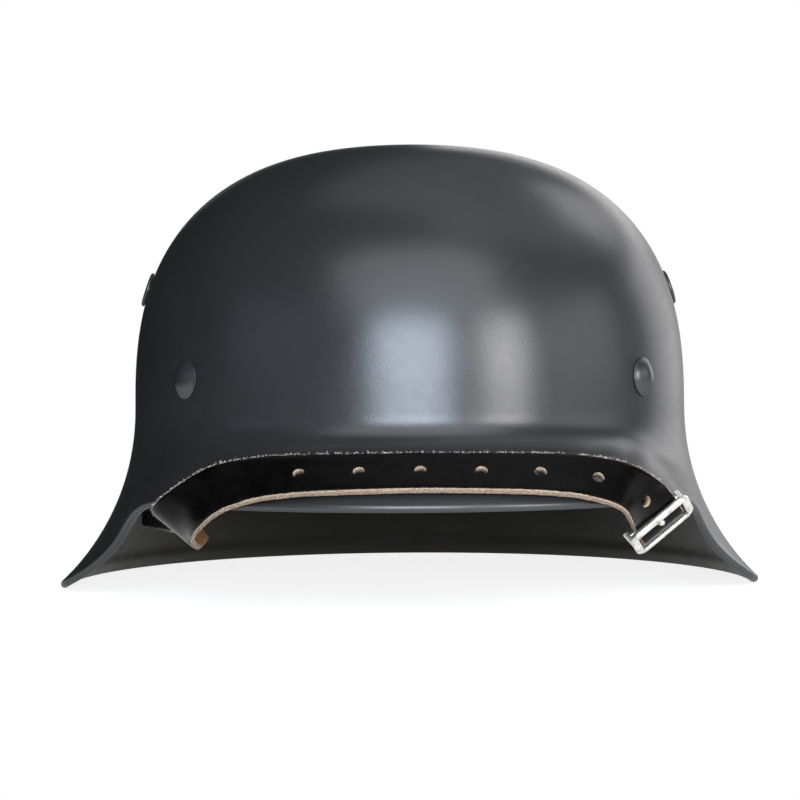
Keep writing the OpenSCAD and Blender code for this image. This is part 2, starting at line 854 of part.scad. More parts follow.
right_under = [in_buckle(28, -1.8, -9.8), [0.75, 0, -0.66]];
right_side = concat(
    bail_stations,
    inner_run(right_under[0], right_under[1], 2.5),
    [
        right_under,
        [in_buckle(20, -1, -6), [0.66, 0, -0.74]],
        [in_buckle(12.5, -0.2, -2.4), [0.6, -0.3, -0.74]],
        [in_buckle(buckle_l / 2, 0, -0.4), buckle_n],
        [in_buckle(0, 0, 0), buckle_n],
        [in_buckle(-buckle_l / 2, 0, 0), buckle_n],
        [near_rim(27.6, 3.6, 1.6), [0.43, -0.78, 0]]
    ]
);

stations = concat(
    [for (s = left_side) mirror_x(s)],
    [for (a = visor_angles) visor_station(a)],
    [for (i = [len(right_side) - 1:-1:0]) right_side[i]]
);
last_station = len(stations) - 1;
// Numbers of the stations at the buckle's front bar and rear bar
front_at = last_station - len(right_side) + 2;
rear_at = front_at + 2;
// Places along the buckle, from its middle towards its rear bar
axle_along = 2;
hole_along = -2.3;

function buckle_x(along) = front_at + 1 + 2 * along / buckle_l;

// Knots of a centripetal curve through a, b, c and d
function knots(a, b, c, d) =
    let (k1 = sqrt(norm(b - a)))
    let (k2 = k1 + sqrt(norm(c - b)))
    [0, k1, k2, k2 + sqrt(norm(d - c))];

function between(p, q, from, to, at) = mix(p, q, (at - from) / (to - from));

// Four neighbours in a list, with the ends of the list carried on straight
function around(p, i) =
    let (n = len(p))
    [
        i > 0 ? p[i - 1] : 2 * p[0] - p[1],
        p[i],
        p[i + 1],
        i + 2 < n ? p[i + 2] : 2 * p[n - 1] - p[n - 2]
    ];

// Curve through p[i] and p[i + 1] at share t, with knots k
function through(p, k, t) =
    let (at = mix(k[1], k[2], t))
    let (a = between(p[0], p[1], k[0], k[1], at))
    let (b = between(p[1], p[2], k[1], k[2], at))
    let (c = between(p[2], p[3], k[2], k[3], at))
    between(between(a, b, k[0], k[2], at), between(b, c, k[1], k[3], at), k[1], k[2], at);

station_points = [for (s = stations) s[0]];
station_normals = [for (s = stations) unit(s[1])];

function leg(x) = min(last_station - 1, max(0, floor(x)));

function leg_knots(i) =
    let (p = around(station_points, i))
    knots(p[0], p[1], p[2], p[3]);

function route(x) =
    let (i = leg(x))
    through(around(station_points, i), leg_knots(i), x - i);

// [point, across, outward] at a place on the route
function strap_frame(x, lift = 0) =
    let (i = leg(x))
    let (d = unit(route(min(last_station, x + 0.02)) - route(max(0, x - 0.02))))
    let (n = through(around(station_normals, i), leg_knots(i), x - i))
    let (w = unit(cross(d, n)))
    let (out = cross(w, d))
    [route(x) + lift * out, w, out];

// Length along the route, so that holes and ends can be set by distance
fine = 8;
fine_points = [for (k = [0:fine * last_station]) route(k / fine)];

function running(points, i = 0, sum = 0) =
    i >= len(points) ? [] :
    let (next = sum + (i > 0 ? norm(points[i] - points[i - 1]) : 0))
    concat([next], running(points, i + 1, next));

lengths = running(fine_points);
length_to_x = [for (k = [0:len(lengths) - 1]) [lengths[k], k / fine]];
x_to_length = [for (k = [0:len(lengths) - 1]) [k / fine, lengths[k]]];

function x_at(distance) = lookup(distance, length_to_x);
function distance_at(x) = lookup(x, x_to_length);

strap_step = 2.5;

function strap_stops(from, to) =
    let (n = ceil(abs(to - from) / strap_step))
    [for (i = [0:n]) x_at(mix(from, to, i / n))];

// A flat strap through frames of [point, across, outward, width, thickness]
module strip(frames) {
    points = [for (f = frames) for (c = [[-1, -1], [1, -1], [1, 1], [-1, 1]])
        f[0] + f[1] * c[0] * f[3] / 2 + f[2] * c[1] * f[4] / 2];
    n = len(frames);
    sides_faces = [for (i = [0:n - 2]) for (k = [0:3])
        let (l = (k + 1) % 4)
        quad(4 * i + l, 4 * i + 4 + l, 4 * i + 4 + k, 4 * i + k)];
    ends = [[3, 2, 1, 0], [4 * n - 4, 4 * n - 3, 4 * n - 2, 4 * n - 1]];
    polyhedron(points, concat(flat(sides_faces), ends), convexity = 6);
}

function sized(f, width = strap_w, thick = strap_t) = [f[0], f[1], f[2], width, thick];

function turned(f) = [f[0], f[1], -f[2]];

// Frames round a bar, from the side that faces against n over d to the side that faces n
function loop_frames(mid, w, n, d, r, width, thick) =
    [for (t = [160:-20:20])
        let (out = n * cos(t) + d * sin(t))
        sized([mid + r * out, w, out], width, thick)];

// The folded ply lies inside the strap and closes up to it away from the bail's bar
function ply_drop(distance) = mix(2 * strap_bend, strap_t + strap_gap, ease(distance, 0, 4.5));

left_bar = [-hinge_x, 0, bail_bar_z];
right_bar = [hinge_x, 0, bail_bar_z];
total = lengths[len(lengths) - 1];
rear_l = distance_at(rear_at);
axle_l = distance_at(buckle_x(axle_along));
hole_l = distance_at(buckle_x(hole_along));
hole_ls = [hole_l, each [for (i = [0:hole_n - 1]) hole_l - hole_lead - i * hole_pitch]];

// The long strap bulges over the short one's loop between the buckle's bars
bulge = 1.5;

function long_lift(x) =
    bulge * ease(x, front_at + 0.4, buckle_x(axle_along)) * (1 - ease(x, buckle_x(axle_along), rear_at));

// Depths below the long strap's middle at the axle
loop_r = axle_d / 2 + strap_gap / 2 + pared_t / 2;
axle_drop = strap_t / 2 + 2.3 * strap_gap + pared_t / 2 + loop_r - bulge;
axle_point = in_buckle(axle_along, 0, -axle_drop);
loop_w = 11;
loop_shift = 1.7;

// The short strap lies under the long one's end, then takes over the route
function short_lift(distance) =
    let (start = loop_r - axle_drop)
    let (under = -strap_t - 2 * strap_gap)
    mix(mix(start, under, ease(distance, 0.5, 5)), 0, ease(distance, tail_l + 8, tail_l + 50));

function short_t(distance) = mix(pared_t, strap_t, ease(distance, 1, 8));
function short_w(distance) = mix(loop_w, strap_w, ease(distance, 4, 16));

module at_frame(f) {
    d = cross(f[2], f[1]);
    multmatrix([
        [f[1][0], d[0], f[2][0], f[0][0]],
        [f[1][1], d[1], f[2][1], f[0][1]],
        [f[1][2], d[2], f[2][2], f[0][2]],
        [0, 0, 0, 1]
    ])
        children();
}

module chinstrap_long() {
    frames = concat(
        [for (x = strap_stops(ply_l, 0)) sized(turned(strap_frame(x, -ply_drop(distance_at(x)))))],
        loop_frames(left_bar, [0, 1, 0], [-1, 0, 0], [0, 0, 1], strap_bend, strap_w, strap_t),
        [for (x = strap_stops(0, rear_l + tail_l)) sized(strap_frame(x, long_lift(x)))]
    );
    color("#1b1817")
        placed()
            difference() {
                strip(frames);
                for (l = hole_ls)
                    at_frame(strap_frame(x_at(l), long_lift(x_at(l))))
                        cylinder(d = hole_d, h = 3 * strap_t, center = true, $fn = thin_steps);
                at_frame(stud_frame(stud_l))
                    cylinder(d = stud_hole_d, h = 6 * strap_t, center = true, $fn = thin_steps);
            }
}

slot_w = prong_w + 1.4;
slot_back = 2.4;

function short_frame(distance) =
    let (f = strap_frame(x_at(axle_l + distance), short_lift(distance)))
    let (w = short_w(distance))
    sized([f[0] + f[1] * loop_shift * (1 - ease(distance, 4, 16)), f[1], f[2]], w, short_t(distance));

function short_ply(distance) =
    let (f = short_frame(distance))
    let (closed = (f[4] + pared_t) / 2 + strap_gap)
    let (drop = mix(2 * loop_r, closed, ease(distance, 0, 5)))
    let (side = loop_shift * ease(distance, 4, 16))
    sized([f[0] - drop * f[2] + side * f[1], f[1], -f[2]], loop_w, pared_t);

function short_stops(from, to) =
    let (n = ceil(abs(to - from) / strap_step))
    [for (i = [0:n]) mix(from, to, i / n)];

module chinstrap_short() {
    axle_mid = axle_point + buckle_across * loop_shift;
    frames = concat(
        [for (l = short_stops(ply_l - 5, 0)) short_ply(l)],
        loop_frames(axle_mid, buckle_across, buckle_n, -buckle_ahead, loop_r, loop_w, pared_t),
        [for (l = short_stops(0, total - axle_l)) short_frame(l)],
        loop_frames(right_bar, [0, 1, 0], [-1, 0, 0], [0, 0, 1], strap_bend, strap_w, strap_t),
        [for (x = strap_stops(total, total - ply_l))
            sized(turned(strap_frame(x, -ply_drop(total - distance_at(x)))))]
    );
    color("#1b1817")
        placed()
            difference() {
                strip(frames);
                at_frame([axle_point, buckle_across, buckle_n])
                    translate([-slot_w / 2, -2 * loop_r, -3 * loop_r])
                        cube([slot_w, 2 * loop_r + slot_back, 6 * loop_r]);
                at_frame(stud_frame(total - stud_l))
                    cylinder(d = stud_hole_d, h = 6 * strap_t, center = true, $fn = thin_steps);
            }
}

// Studs that close the strap's loops round the bails
stud_l = 9.5;
stud_d = 3;
stud_head_d = 7;
stud_head_t = 1.2;
stud_hole_d = stud_d + 2 * hole_play;

function stud_frame(distance) = strap_frame(x_at(distance), -(strap_t + strap_gap) / 2);

module strap_stud(distance) {
    grip = 2 * strap_t + strap_gap + 2 * seat;
    color("#a5a29a")
        placed()
            at_frame(stud_frame(distance))
                union() {
                    cylinder(d = stud_d, h = grip, center = true, $fn = thin_steps);
                    for (side = [-1, 1])
                        translate([0, 0, side * (grip + stud_head_t) / 2])
                            cylinder(d = stud_head_d, h = stud_head_t, center = true,
                                $fn = round_steps);
                }
}

// Buckle: a pressed frame over the long strap with a low axle under it. Local X runs across
// the strap, local Y from the axle to the front bar and local Z out of the buckle.
frame_z = axle_drop + strap_t / 2 + strap_gap;
front_y = buckle_l / 2 + axle_along;
rear_y = axle_along - buckle_l / 2;
rear_bar = 1.5;
frame_corner = 2.2;
post_d = 2;

module at_buckle() {
    placed()
        at_frame([axle_point, buckle_across, buckle_n])
            rotate([0, 0, 180])
                children();
}

module rounded_block(x, y0, y1, z0, z1, r) {
    for (side = [-1, 1])
        for (y = [y0 + r, y1 - r])
            translate([side * (x - r), y, z0])
                cylinder(r = r, h = z1 - z0, $fn = round_steps);
    translate([r - x, y0, z0])
        cube([2 * (x - r), y1 - y0, z1 - z0]);
    translate([-x, y0 + r, z0])
        cube([2 * x, y1 - y0 - 2 * r, z1 - z0]);
}

module buckle_frame() {
    half = (buckle_w + buckle_side) / 2;
    hole = half - buckle_side;
    color("#cfccc2")
        at_buckle() {
            difference() {
                rounded_block(half, rear_y - rear_bar / 2, front_y + buckle_d / 2, frame_z,
                    frame_z + buckle_t, frame_corner);
                translate([-hole, rear_y + rear_bar / 2, frame_z - 1])
                    cube([2 * hole, buckle_l - (rear_bar + buckle_d) / 2, buckle_t + 2]);
            }
            translate([0, front_y, frame_z + buckle_d / 2])
                rotate([0, 90, 0])
                    cylinder(d = buckle_d, h = 2 * (half - frame_corner), center = true,
                        $fn = thin_steps);
            for (side = [-1, 1])
                translate([side * buckle_w / 2, 0, -axle_d * 0.7])
                    cylinder(d = post_d, h = frame_z + axle_d * 0.7 + buckle_t / 2, $fn = thin_steps);
            rotate([0, 90, 0])
                cylinder(d = axle_d, h = buckle_w, center = true, $fn = thin_steps);
        }
}

// Prong: an eye round the axle, a shank up through the strap's hole, and a ball that rests
// against the front bar
prong_play = 0.05;
eye_wall = 0.6;
prong_ball = 2;
ball_rise = 18;

// Middle line of the prong seen from the side: y from axle to front, z out of the buckle
function prong_line() =
    let (hole_y = axle_along - hole_along)
    let (reach = (buckle_d + prong_ball) / 2 + prong_play)
    let (ball_y = front_y - reach * cos(ball_rise))
    let (ball_z = frame_z + buckle_d / 2 + reach * sin(ball_rise))
    let (low = prong_t / 2 - eye_r)
    [
        [0, low],
        [hole_y - 2, low + 0.2],
        [hole_y - 0.6, low + 1.8],
        [hole_y + 0.4, axle_drop + strap_t / 2 + 0.4],
        [ball_y, ball_z]
    ];

eye_r = axle_d / 2 + prong_play + eye_wall;

function side_of(line, gap) =
    [for (i = [0:len(line) - 1])
        let (d = unit(line[min(i + 1, len(line) - 1)] - line[max(0, i - 1)]))
        line[i] + gap * [-d[1], d[0]]];

module buckle_prong() {
    line = prong_line();
    under = side_of(line, -prong_t / 2);
    tip = line[len(line) - 1];
    color("#cfccc2")
        at_buckle()
            rotate([90, 0, 90])
                difference() {
                    union() {
                        cylinder(r = eye_r, h = prong_w, center = true, $fn = round_steps);
                        linear_extrude(prong_w, center = true)
                            polygon(concat(side_of(line, prong_t / 2),
                                [for (i = [len(under) - 1:-1:0]) under[i]]));
                        translate([tip[0], tip[1], 0])
                            sphere(d = prong_ball, $fn = thin_steps);
                    }
                    cylinder(d = axle_d + 2 * prong_play, h = prong_w + 2, center = true,
                        $fn = round_steps);
                }
}

shell();
vent_bushing(-vent_a);  // vent_bushing_left
vent_bushing(vent_a);  // vent_bushing_right
liner_pin(-pin_a);  // liner_pin_front_left
liner_pin(pin_a);  // liner_pin_front_right
liner_pin(180);  // liner_pin_rear
pin_washers();
liner_outer_band();
liner_inner_band();
band_spring(1);  // band_spring_1
band_spring(2);  // band_spring_2
band_spring(3);  // band_spring_3
band_spring(4);  // band_spring_4
band_spring(5);  // band_spring_5
band_spring(6);  // band_spring_6
spring_rivets();
felt_ring();
leather_liner();
leather_rivets();
tie_string();
bail_bracket(-1);  // bail_bracket_left
bail_bracket(1);  // bail_bracket_right
bracket_rivets();
bail(-1);  // bail_left
bail(1);  // bail_right
chinstrap_long();
chinstrap_short();
strap_stud(stud_l);  // strap_stud_left
strap_stud(total - stud_l);  // strap_stud_right
buckle_frame();
buckle_prong();
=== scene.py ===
import math
import random
from types import SimpleNamespace

import bmesh
import bpy
import numpy as np
from mathutils import Matrix, Vector, noise


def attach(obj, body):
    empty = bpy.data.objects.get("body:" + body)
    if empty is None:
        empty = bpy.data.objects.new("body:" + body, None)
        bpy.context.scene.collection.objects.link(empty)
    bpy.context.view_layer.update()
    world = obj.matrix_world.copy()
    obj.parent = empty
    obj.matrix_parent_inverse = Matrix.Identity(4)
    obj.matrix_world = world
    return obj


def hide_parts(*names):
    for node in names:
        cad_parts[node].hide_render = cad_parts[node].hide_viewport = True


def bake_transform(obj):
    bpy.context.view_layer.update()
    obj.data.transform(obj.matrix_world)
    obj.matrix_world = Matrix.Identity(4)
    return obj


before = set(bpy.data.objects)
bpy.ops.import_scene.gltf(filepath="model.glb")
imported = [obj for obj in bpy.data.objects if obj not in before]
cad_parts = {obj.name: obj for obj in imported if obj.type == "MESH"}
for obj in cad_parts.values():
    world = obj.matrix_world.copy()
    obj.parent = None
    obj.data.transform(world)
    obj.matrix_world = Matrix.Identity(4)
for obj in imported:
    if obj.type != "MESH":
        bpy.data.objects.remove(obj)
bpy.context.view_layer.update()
mm = 0.001
noise.seed_set(7)  # the vector noise starts from the clock otherwise


# Small helpers

def sind(a):
    return math.sin(math.radians(a))


def cosd(a):
    return math.cos(math.radians(a))


def ease(x, low, high):
    t = min(1.0, max(0.0, (x - low) / (high - low)))
    return t * t * (3 - 2 * t)


def mix(p, q, t):
    return p * (1 - t) + q * t


def unit(v):
    v = np.asarray(v, float)
    return v / np.linalg.norm(v)


def moved(x, y, z):
    # Matrix of a move given in mm.
    return Matrix.Translation(Vector((x, y, z)) * mm)


def turn(degrees, axis):
    return Matrix.Rotation(math.radians(degrees), 4, axis)


def aimed(place, toward):
    # Matrix of a camera or lamp at a place in metres that looks along a direction.
    return Matrix.Translation(place) @ Vector(toward).to_track_quat("-Z", "Y").to_matrix().to_4x4()


def addObject(name, data):
    made = bpy.data.objects.new(name, data)
    bpy.context.scene.collection.objects.link(made)
    return made


# Camera, lights and floor, in metres

camera = {
    "place": (-0.0195, -0.7938, 0.078),
    "toward": (0.0244, 0.9997, 0.0),
    "rollDeg": -0.35,
    "lens": 104.4,
    "sensor": 36,
    "shift": (-0.0115, -0.05125),
    "clipEnd": 50,
}


def setCamera():
    data = bpy.data.cameras.new("photoCamera")
    data.lens = camera["lens"]
    data.sensor_width = camera["sensor"]
    data.shift_x, data.shift_y = camera["shift"]
    data.clip_end = camera["clipEnd"]
    cam = addObject("photoCamera", data)
    cam.matrix_world = aimed(camera["place"], camera["toward"]) @ turn(camera["rollDeg"], "Z")
    bpy.context.scene.camera = cam


# place, target, width, height, watts, colour
lamps = {
    "boxFront": ((-0.055, -1.86, 0.42), (0, -0.1, 0.07), 1.16, 0.96, 42.0, (0.80, 0.90, 1.0)),
    "boxRight": ((1.20, -1.39, 0.40), (0, -0.1, 0.07), 0.64, 0.86, 16.5, (1.0, 0.98, 0.95)),
    "sideLeft": ((-1.9, -0.75, 0.6), (0, 0, 0.08), 1.5, 0.9, 1.3, (0.75, 0.88, 1.0)),
    "sideRight": ((1.98, -0.28, 0.5), (0, 0, 0.08), 1.3, 0.9, 5.5, (1.0, 0.98, 0.95)),
    "wallRight": ((1.1, 1.9, 0.42), (0, 0, 0.08), 2.2, 1.1, 38.0, (1.0, 0.99, 0.98)),
    "boxRear": ((1.2, 1.3, 1.35), (0, 0, 0.08), 0.9, 0.7, 8.0, (1.0, 0.99, 0.98)),
    "boxTop": ((0.05, -1.3, 1.42), (0, 0, 0.08), 2.4, 1.1, 15.0, (0.98, 0.99, 1.0)),
    "ceiling": ((0.7, 0.8, 2.0), (0.3, 0.3, 0.1), 2.6, 2.6, 13.0, (1, 1, 1)),
}
worldTone = (0.01, 0.01, 0.01, 1)


def setLights():
    for name, (place, target, wide, high, watts, tint) in lamps.items():
        data = bpy.data.lights.new(name, "AREA")
        data.shape = "RECTANGLE"
        data.size, data.size_y = wide, high
        data.energy = watts
        data.color = tint
        addObject(name, data).matrix_world = aimed(place, Vector(target) - Vector(place))
    world = bpy.data.worlds.new("studio")
    bpy.context.scene.world = world
    world.use_nodes = True
    world.node_tree.nodes["Background"].inputs["Color"].default_value = worldTone
    bpy.context.scene.view_settings.view_transform = "Standard"


# The floor shows shadows near the part and fades to plain white between two distances.
stage = {
    "floor": {"middle": (0.3, 0.3, 0), "half": (0.7, 1.4), "tilt": 0},
    "backdrop": {"middle": (0.3, 1.7, 0.25), "half": (0.7, 0.28), "tilt": 90},
    "pale": (0.6, 0.6, 0.6, 1), "glow": 0.84, "fadeFrom": 0.15, "fadeTo": 0.36,
}


def makeSheet(name, finish, form):
    bm = bmesh.new()
    size = Matrix.Diagonal((*form["half"], 1, 1))
    place = Matrix.Translation(form["middle"]) @ turn(form["tilt"], "X") @ size
    bmesh.ops.create_grid(bm, x_segments=2, y_segments=2, size=1, matrix=place)
    return newPiece(name, bm, [finish])


def makeStage():
    # A pale floor and a white backdrop that fill the view.
    floor = makeSheet("studioFloor", stageWhite("floorWhite", True), stage["floor"])
    backdrop = makeSheet("studioBackdrop", stageWhite("backdropWhite", False), stage["backdrop"])
    print("stage")


# Materials

class Shader:
    # A material under construction, with short calls for the nodes used here.

    def __init__(self, name):
        self.material = bpy.data.materials.new(name)
        self.material.use_nodes = True
        self.nodes = self.material.node_tree.nodes
        self.links = self.material.node_tree.links
        self.surface = self.nodes["Principled BSDF"]
        self.coordinates = self.nodes.new("ShaderNodeTexCoord")

    def feed(self, node, **inputs):
        # Sets each input, or links it where the value is another node's output.
        for name, value in inputs.items():
            socket = node.inputs[name.replace("_", " ")]
            if isinstance(value, bpy.types.NodeSocket):
                self.links.new(value, socket)
            else:
                socket.default_value = value

    def add(self, kind, **inputs):
        node = self.nodes.new("ShaderNode" + kind)
        self.feed(node, **inputs)
        return node.outputs

    def join(self, kind, *sources, operation=None):
        # Links the sources to a new node's inputs in order and gives its last output.
        node = self.nodes.new("ShaderNode" + kind)
        if operation:
            node.operation = operation
        for source, socket in zip(sources, node.inputs):
            self.links.new(source, socket)
        return node.outputs[-1]

    def noise(self, scale, detail, rough=0.5, stretch=None):
        # Laid in the piece's own space, or stretched along its UV map.
        place = self.coordinates.outputs["Object"]
        if stretch:
            place = self.add("Mapping", Scale=stretch, Vector=self.coordinates.outputs["UV"])["Vector"]
        return self.add("TexNoise", Scale=scale, Detail=detail, Roughness=rough, Vector=place)["Fac"]

    def cells(self, scale):
        return self.add("TexVoronoi", Scale=scale, Vector=self.coordinates.outputs["Object"])["Distance"]

    def ramp(self, source, *stops):
        node = self.nodes.new("ShaderNodeValToRGB")
        elements = node.color_ramp.elements
        for element, (place, colour) in zip(elements, (stops[0], stops[-1])):
            element.position = place
            element.color = (*colour, 1)
        for place, colour in stops[1:-1]:
            elements.new(place).color = (*colour, 1)
        self.links.new(source, node.inputs["Fac"])
        return node.outputs["Color"]

    def levels(self, source, low, high, fromLow, fromHigh):
        return self.add(
            "MapRange", Value=source, From_Min=fromLow, From_Max=fromHigh, To_Min=low, To_Max=high)["Result"]

    def bump(self, layers):
        last = {}
        for height, depth in layers:
            last = {"Normal": self.add("Bump", Strength=1, Distance=depth, Height=height, **last)["Normal"]}
        self.feed(self.surface, **last)


def stageWhite(name, shadowed):
    # White to the camera and to shiny pieces, a plain pale surface to all other light.
    s = Shader(name)
    s.feed(s.surface, Base_Color=stage["pale"], Roughness=0.9, Specular_IOR_Level=0.0)
    rays = s.add("LightPath")
    seen = s.join("Math", rays["Is Camera Ray"], rays["Is Glossy Ray"], operation="MAXIMUM")
    seen = s.join("Math", seen, rays["Is Transmission Ray"], operation="MAXIMUM")
    shown = s.add("Emission", Strength=1)[0]
    if shadowed:
        lit = s.add("BsdfDiffuse", Color=stage["pale"])[0]
        near = s.join("AddShader", s.add("Emission", Strength=stage["glow"])[0], lit)
        reach = s.join("VectorMath", s.coordinates.outputs["Object"], operation="LENGTH")
        shown = s.join("MixShader", s.levels(reach, 0, 1, stage["fadeFrom"], stage["fadeTo"]), near, shown)
    pick = s.join("MixShader", seen, s.surface.outputs[0], shown)
    s.links.new(pick, s.nodes["Material Output"].inputs["Surface"])
    return s.material


# surface: values set on the shader. tone: scale, detail and roughness of the noise behind the
# colour, with its colour stops. dull: noise, lowest and highest roughness. Bumps have their depth
# in metres: toneBump is raised by the tone, cells by a cell pattern, and the others by noise.
finishes = {
    "slatePaint": {
        "surface": {"Metallic": 0.73, "Specular_IOR_Level": 0.0, "Specular_Tint": (0.55, 0.55, 0.55, 1)},
        "tone": (26, 4), "stops": ((0.3, (0.070, 0.071, 0.075)), (0.7, (0.081, 0.082, 0.086))),
        "dull": ((300, 4), 0.285, 0.325), "bumps": (((1100, 2), 0.000026), ((500, 2), 0.000006)),
    },
    # Inside of the shell: a duller paint, made much darker than the outside as painted shade for the shade
    # inside the helmet.
    "innerPaintAndShade": {
        "surface": {"Specular_IOR_Level": 0.08},
        "tone": (40, 4), "stops": ((0.3, (0.028, 0.026, 0.023)), (0.7, (0.040, 0.037, 0.033))),
        "dull": ((300, 4), 0.42, 0.52), "bumps": (((900, 3), 0.00003),),
    },
    "zincPlate": {
        "surface": {"Metallic": 0.9},
        "tone": (160, 5), "stops": ((0.3, (0.28, 0.28, 0.27)), (0.7, (0.47, 0.46, 0.43))),
        "dull": ((500, 4), 0.38, 0.58), "bumps": (((900, 3), 0.00004),),
    },
    "wireSteel": {
        "surface": {"Metallic": 1.0},
        "tone": (300, 4), "stops": ((0.3, (0.32, 0.31, 0.29)), (0.7, (0.48, 0.47, 0.44))),
        "dull": ((900, 3), 0.28, 0.44),
    },
    "buckleMetal": {
        "surface": {"Metallic": 0.85},
        "tone": (420, 5, 0.6),
        "stops": ((0.3, (0.36, 0.33, 0.28)), (0.5, (0.60, 0.58, 0.53)), (0.75, (0.72, 0.70, 0.65))),
        "dull": ((1400, 3), 0.30, 0.52), "bumps": (((1800, 3), 0.00003),),
    },
    "strapGrain": {
        "surface": {"Specular_IOR_Level": 0.09},
        "tone": (200, 4), "stops": ((0.3, (0.0012, 0.0010, 0.0010)), (0.75, (0.0030, 0.0026, 0.0024))),
        "dull": ((380, 4), 0.22, 0.36), "cells": (900, 0.00002),
        "bumps": (((2600, 2), 0.00001), ((120, 2), 0.00006)),
    },
    "strapCut": {
        "surface": {"Specular_IOR_Level": 0.2, "Roughness": 0.85},
        "tone": (1500, 5, 0.65),
        "stops": ((0.28, (0.15, 0.092, 0.058)), (0.5, (0.34, 0.25, 0.18)), (0.72, (0.52, 0.42, 0.33))),
        "toneBump": 0.00016,
    },
    "strapFlesh": {
        "surface": {"Specular_IOR_Level": 0.2, "Roughness": 0.8},
        "tone": (700, 6, 0.7), "stops": ((0.3, (0.20, 0.085, 0.035)), (0.7, (0.40, 0.21, 0.10))),
        "toneBump": 0.00012,
    },
    "fibreWhite": {
        "surface": {"Specular_IOR_Level": 0.1, "Roughness": 0.8},
        "tone": (2500, 3), "stops": ((0.3, (0.58, 0.50, 0.42)), (0.7, (0.86, 0.82, 0.76))),
    },
    "linerHide": {
        "surface": {"Specular_IOR_Level": 0.35},
        "tone": (45, 5, 0.6),
        "stops": ((0.28, (0.115, 0.058, 0.028)), (0.55, (0.22, 0.125, 0.065)), (0.8, (0.30, 0.185, 0.10))),
        "dull": ((160, 4), 0.42, 0.62), "cells": (700, 0.00009), "bumps": (((90, 3), 0.0003),),
    },
    "feltWool": {
        "surface": {
            "Specular_IOR_Level": 0.05, "Roughness": 0.95, "Sheen_Weight": 0.35, "Sheen_Roughness": 0.6},
        "tone": (900, 6, 0.75), "stops": ((0.3, (0.10, 0.095, 0.085)), (0.7, (0.24, 0.23, 0.20))),
        "toneBump": 0.0004,
    },
    "tieCord": {
        "surface": {"Specular_IOR_Level": 0.15, "Roughness": 0.85},
        "tone": (1, 2, 0.5, (900, 60, 1)), "stops": ((0.3, (0.16, 0.12, 0.075)), (0.7, (0.42, 0.34, 0.23))),
        "toneBump": 0.0002,
    },
}


def makeFinish(name):
    f = finishes[name]
    s = Shader(name)
    tone = s.noise(*f["tone"])
    s.feed(s.surface, Base_Color=s.ramp(tone, *f["stops"]), **f["surface"])
    if "dull" in f:
        pattern, low, high = f["dull"]
        s.feed(s.surface, Roughness=s.levels(s.noise(*pattern), low, high, 0.3, 0.7))
    layers = []
    if "toneBump" in f:
        layers.append((tone, f["toneBump"]))
    if "cells" in f:
        scale, depth = f["cells"]
        layers.append((s.cells(scale), depth))
    layers += [(s.noise(*pattern), depth) for pattern, depth in f.get("bumps", ())]
    s.bump(layers)
    return s.material


paint, inside, zinc, wire, brass, grain, cut, flesh, fibre, hide, wool, cord = map(makeFinish, finishes)
print("materials made")


# Making pieces

def newPiece(name, bm, materials, smooth=40):
    mesh = bpy.data.meshes.new(name)
    bm.to_mesh(mesh)
    bm.free()
    for m in materials:
        mesh.materials.append(m)
    mesh.polygons.foreach_set("use_smooth", [True] * len(mesh.polygons))
    mesh.set_sharp_from_angle(angle=math.radians(smooth))
    return addObject(name, mesh)


def dress(piece, body, slot, *stands):
    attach(piece, body)
    if stands:
        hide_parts(*stands)


def addBlock(bm, size, matrix):
    # A block of the size in mm about the matrix's place.
    return bmesh.ops.create_cube(bm, size=1, matrix=matrix @ Matrix.Diagonal((*(Vector(size) * mm), 1)))


def addRod(bm, radius, length, matrix, steps=24):
    # A rod in mm about the matrix's place, along its Z.
    r = radius * mm
    bmesh.ops.create_cone(
        bm, cap_ends=True, segments=steps, radius1=r, radius2=r, depth=length * mm, matrix=matrix)


def newCutter(name, bm, materials, index=0):
    for face in bm.faces:
        face.material_index = index
    return newPiece(name, bm, materials)


def rodCutter(name, radius, length, matrix, materials, steps, index=0):
    bm = bmesh.new()
    addRod(bm, radius, length, matrix, steps)
    return newCutter(name, bm, materials, index)


def carve(piece, cutters):
    # Takes the cutters out of the piece, and leaves no modifier behind.
    for cutter in cutters:
        change = piece.modifiers.new("carve", "BOOLEAN")
        change.operation = "DIFFERENCE"
        change.solver = "EXACT"
        change.object = cutter
    bpy.context.view_layer.update()
    seen = piece.evaluated_get(bpy.context.evaluated_depsgraph_get())
    mesh = bpy.data.meshes.new_from_object(seen)
    piece.modifiers.clear()
    piece.data = mesh
    for cutter in cutters:
        bpy.data.objects.remove(cutter)


def merge(bm, other):
    mesh = bpy.data.meshes.new("part")
    other.to_mesh(mesh)
    other.free()
    bm.from_mesh(mesh)
    bpy.data.meshes.remove(mesh)


def spin(bm, angle, steps, close):
    bmesh.ops.spin(
        bm, geom=bm.verts[:] + bm.edges[:], cent=(0, 0, 0), axis=(0, 0, 1), angle=angle, steps=steps,
        use_merge=close)


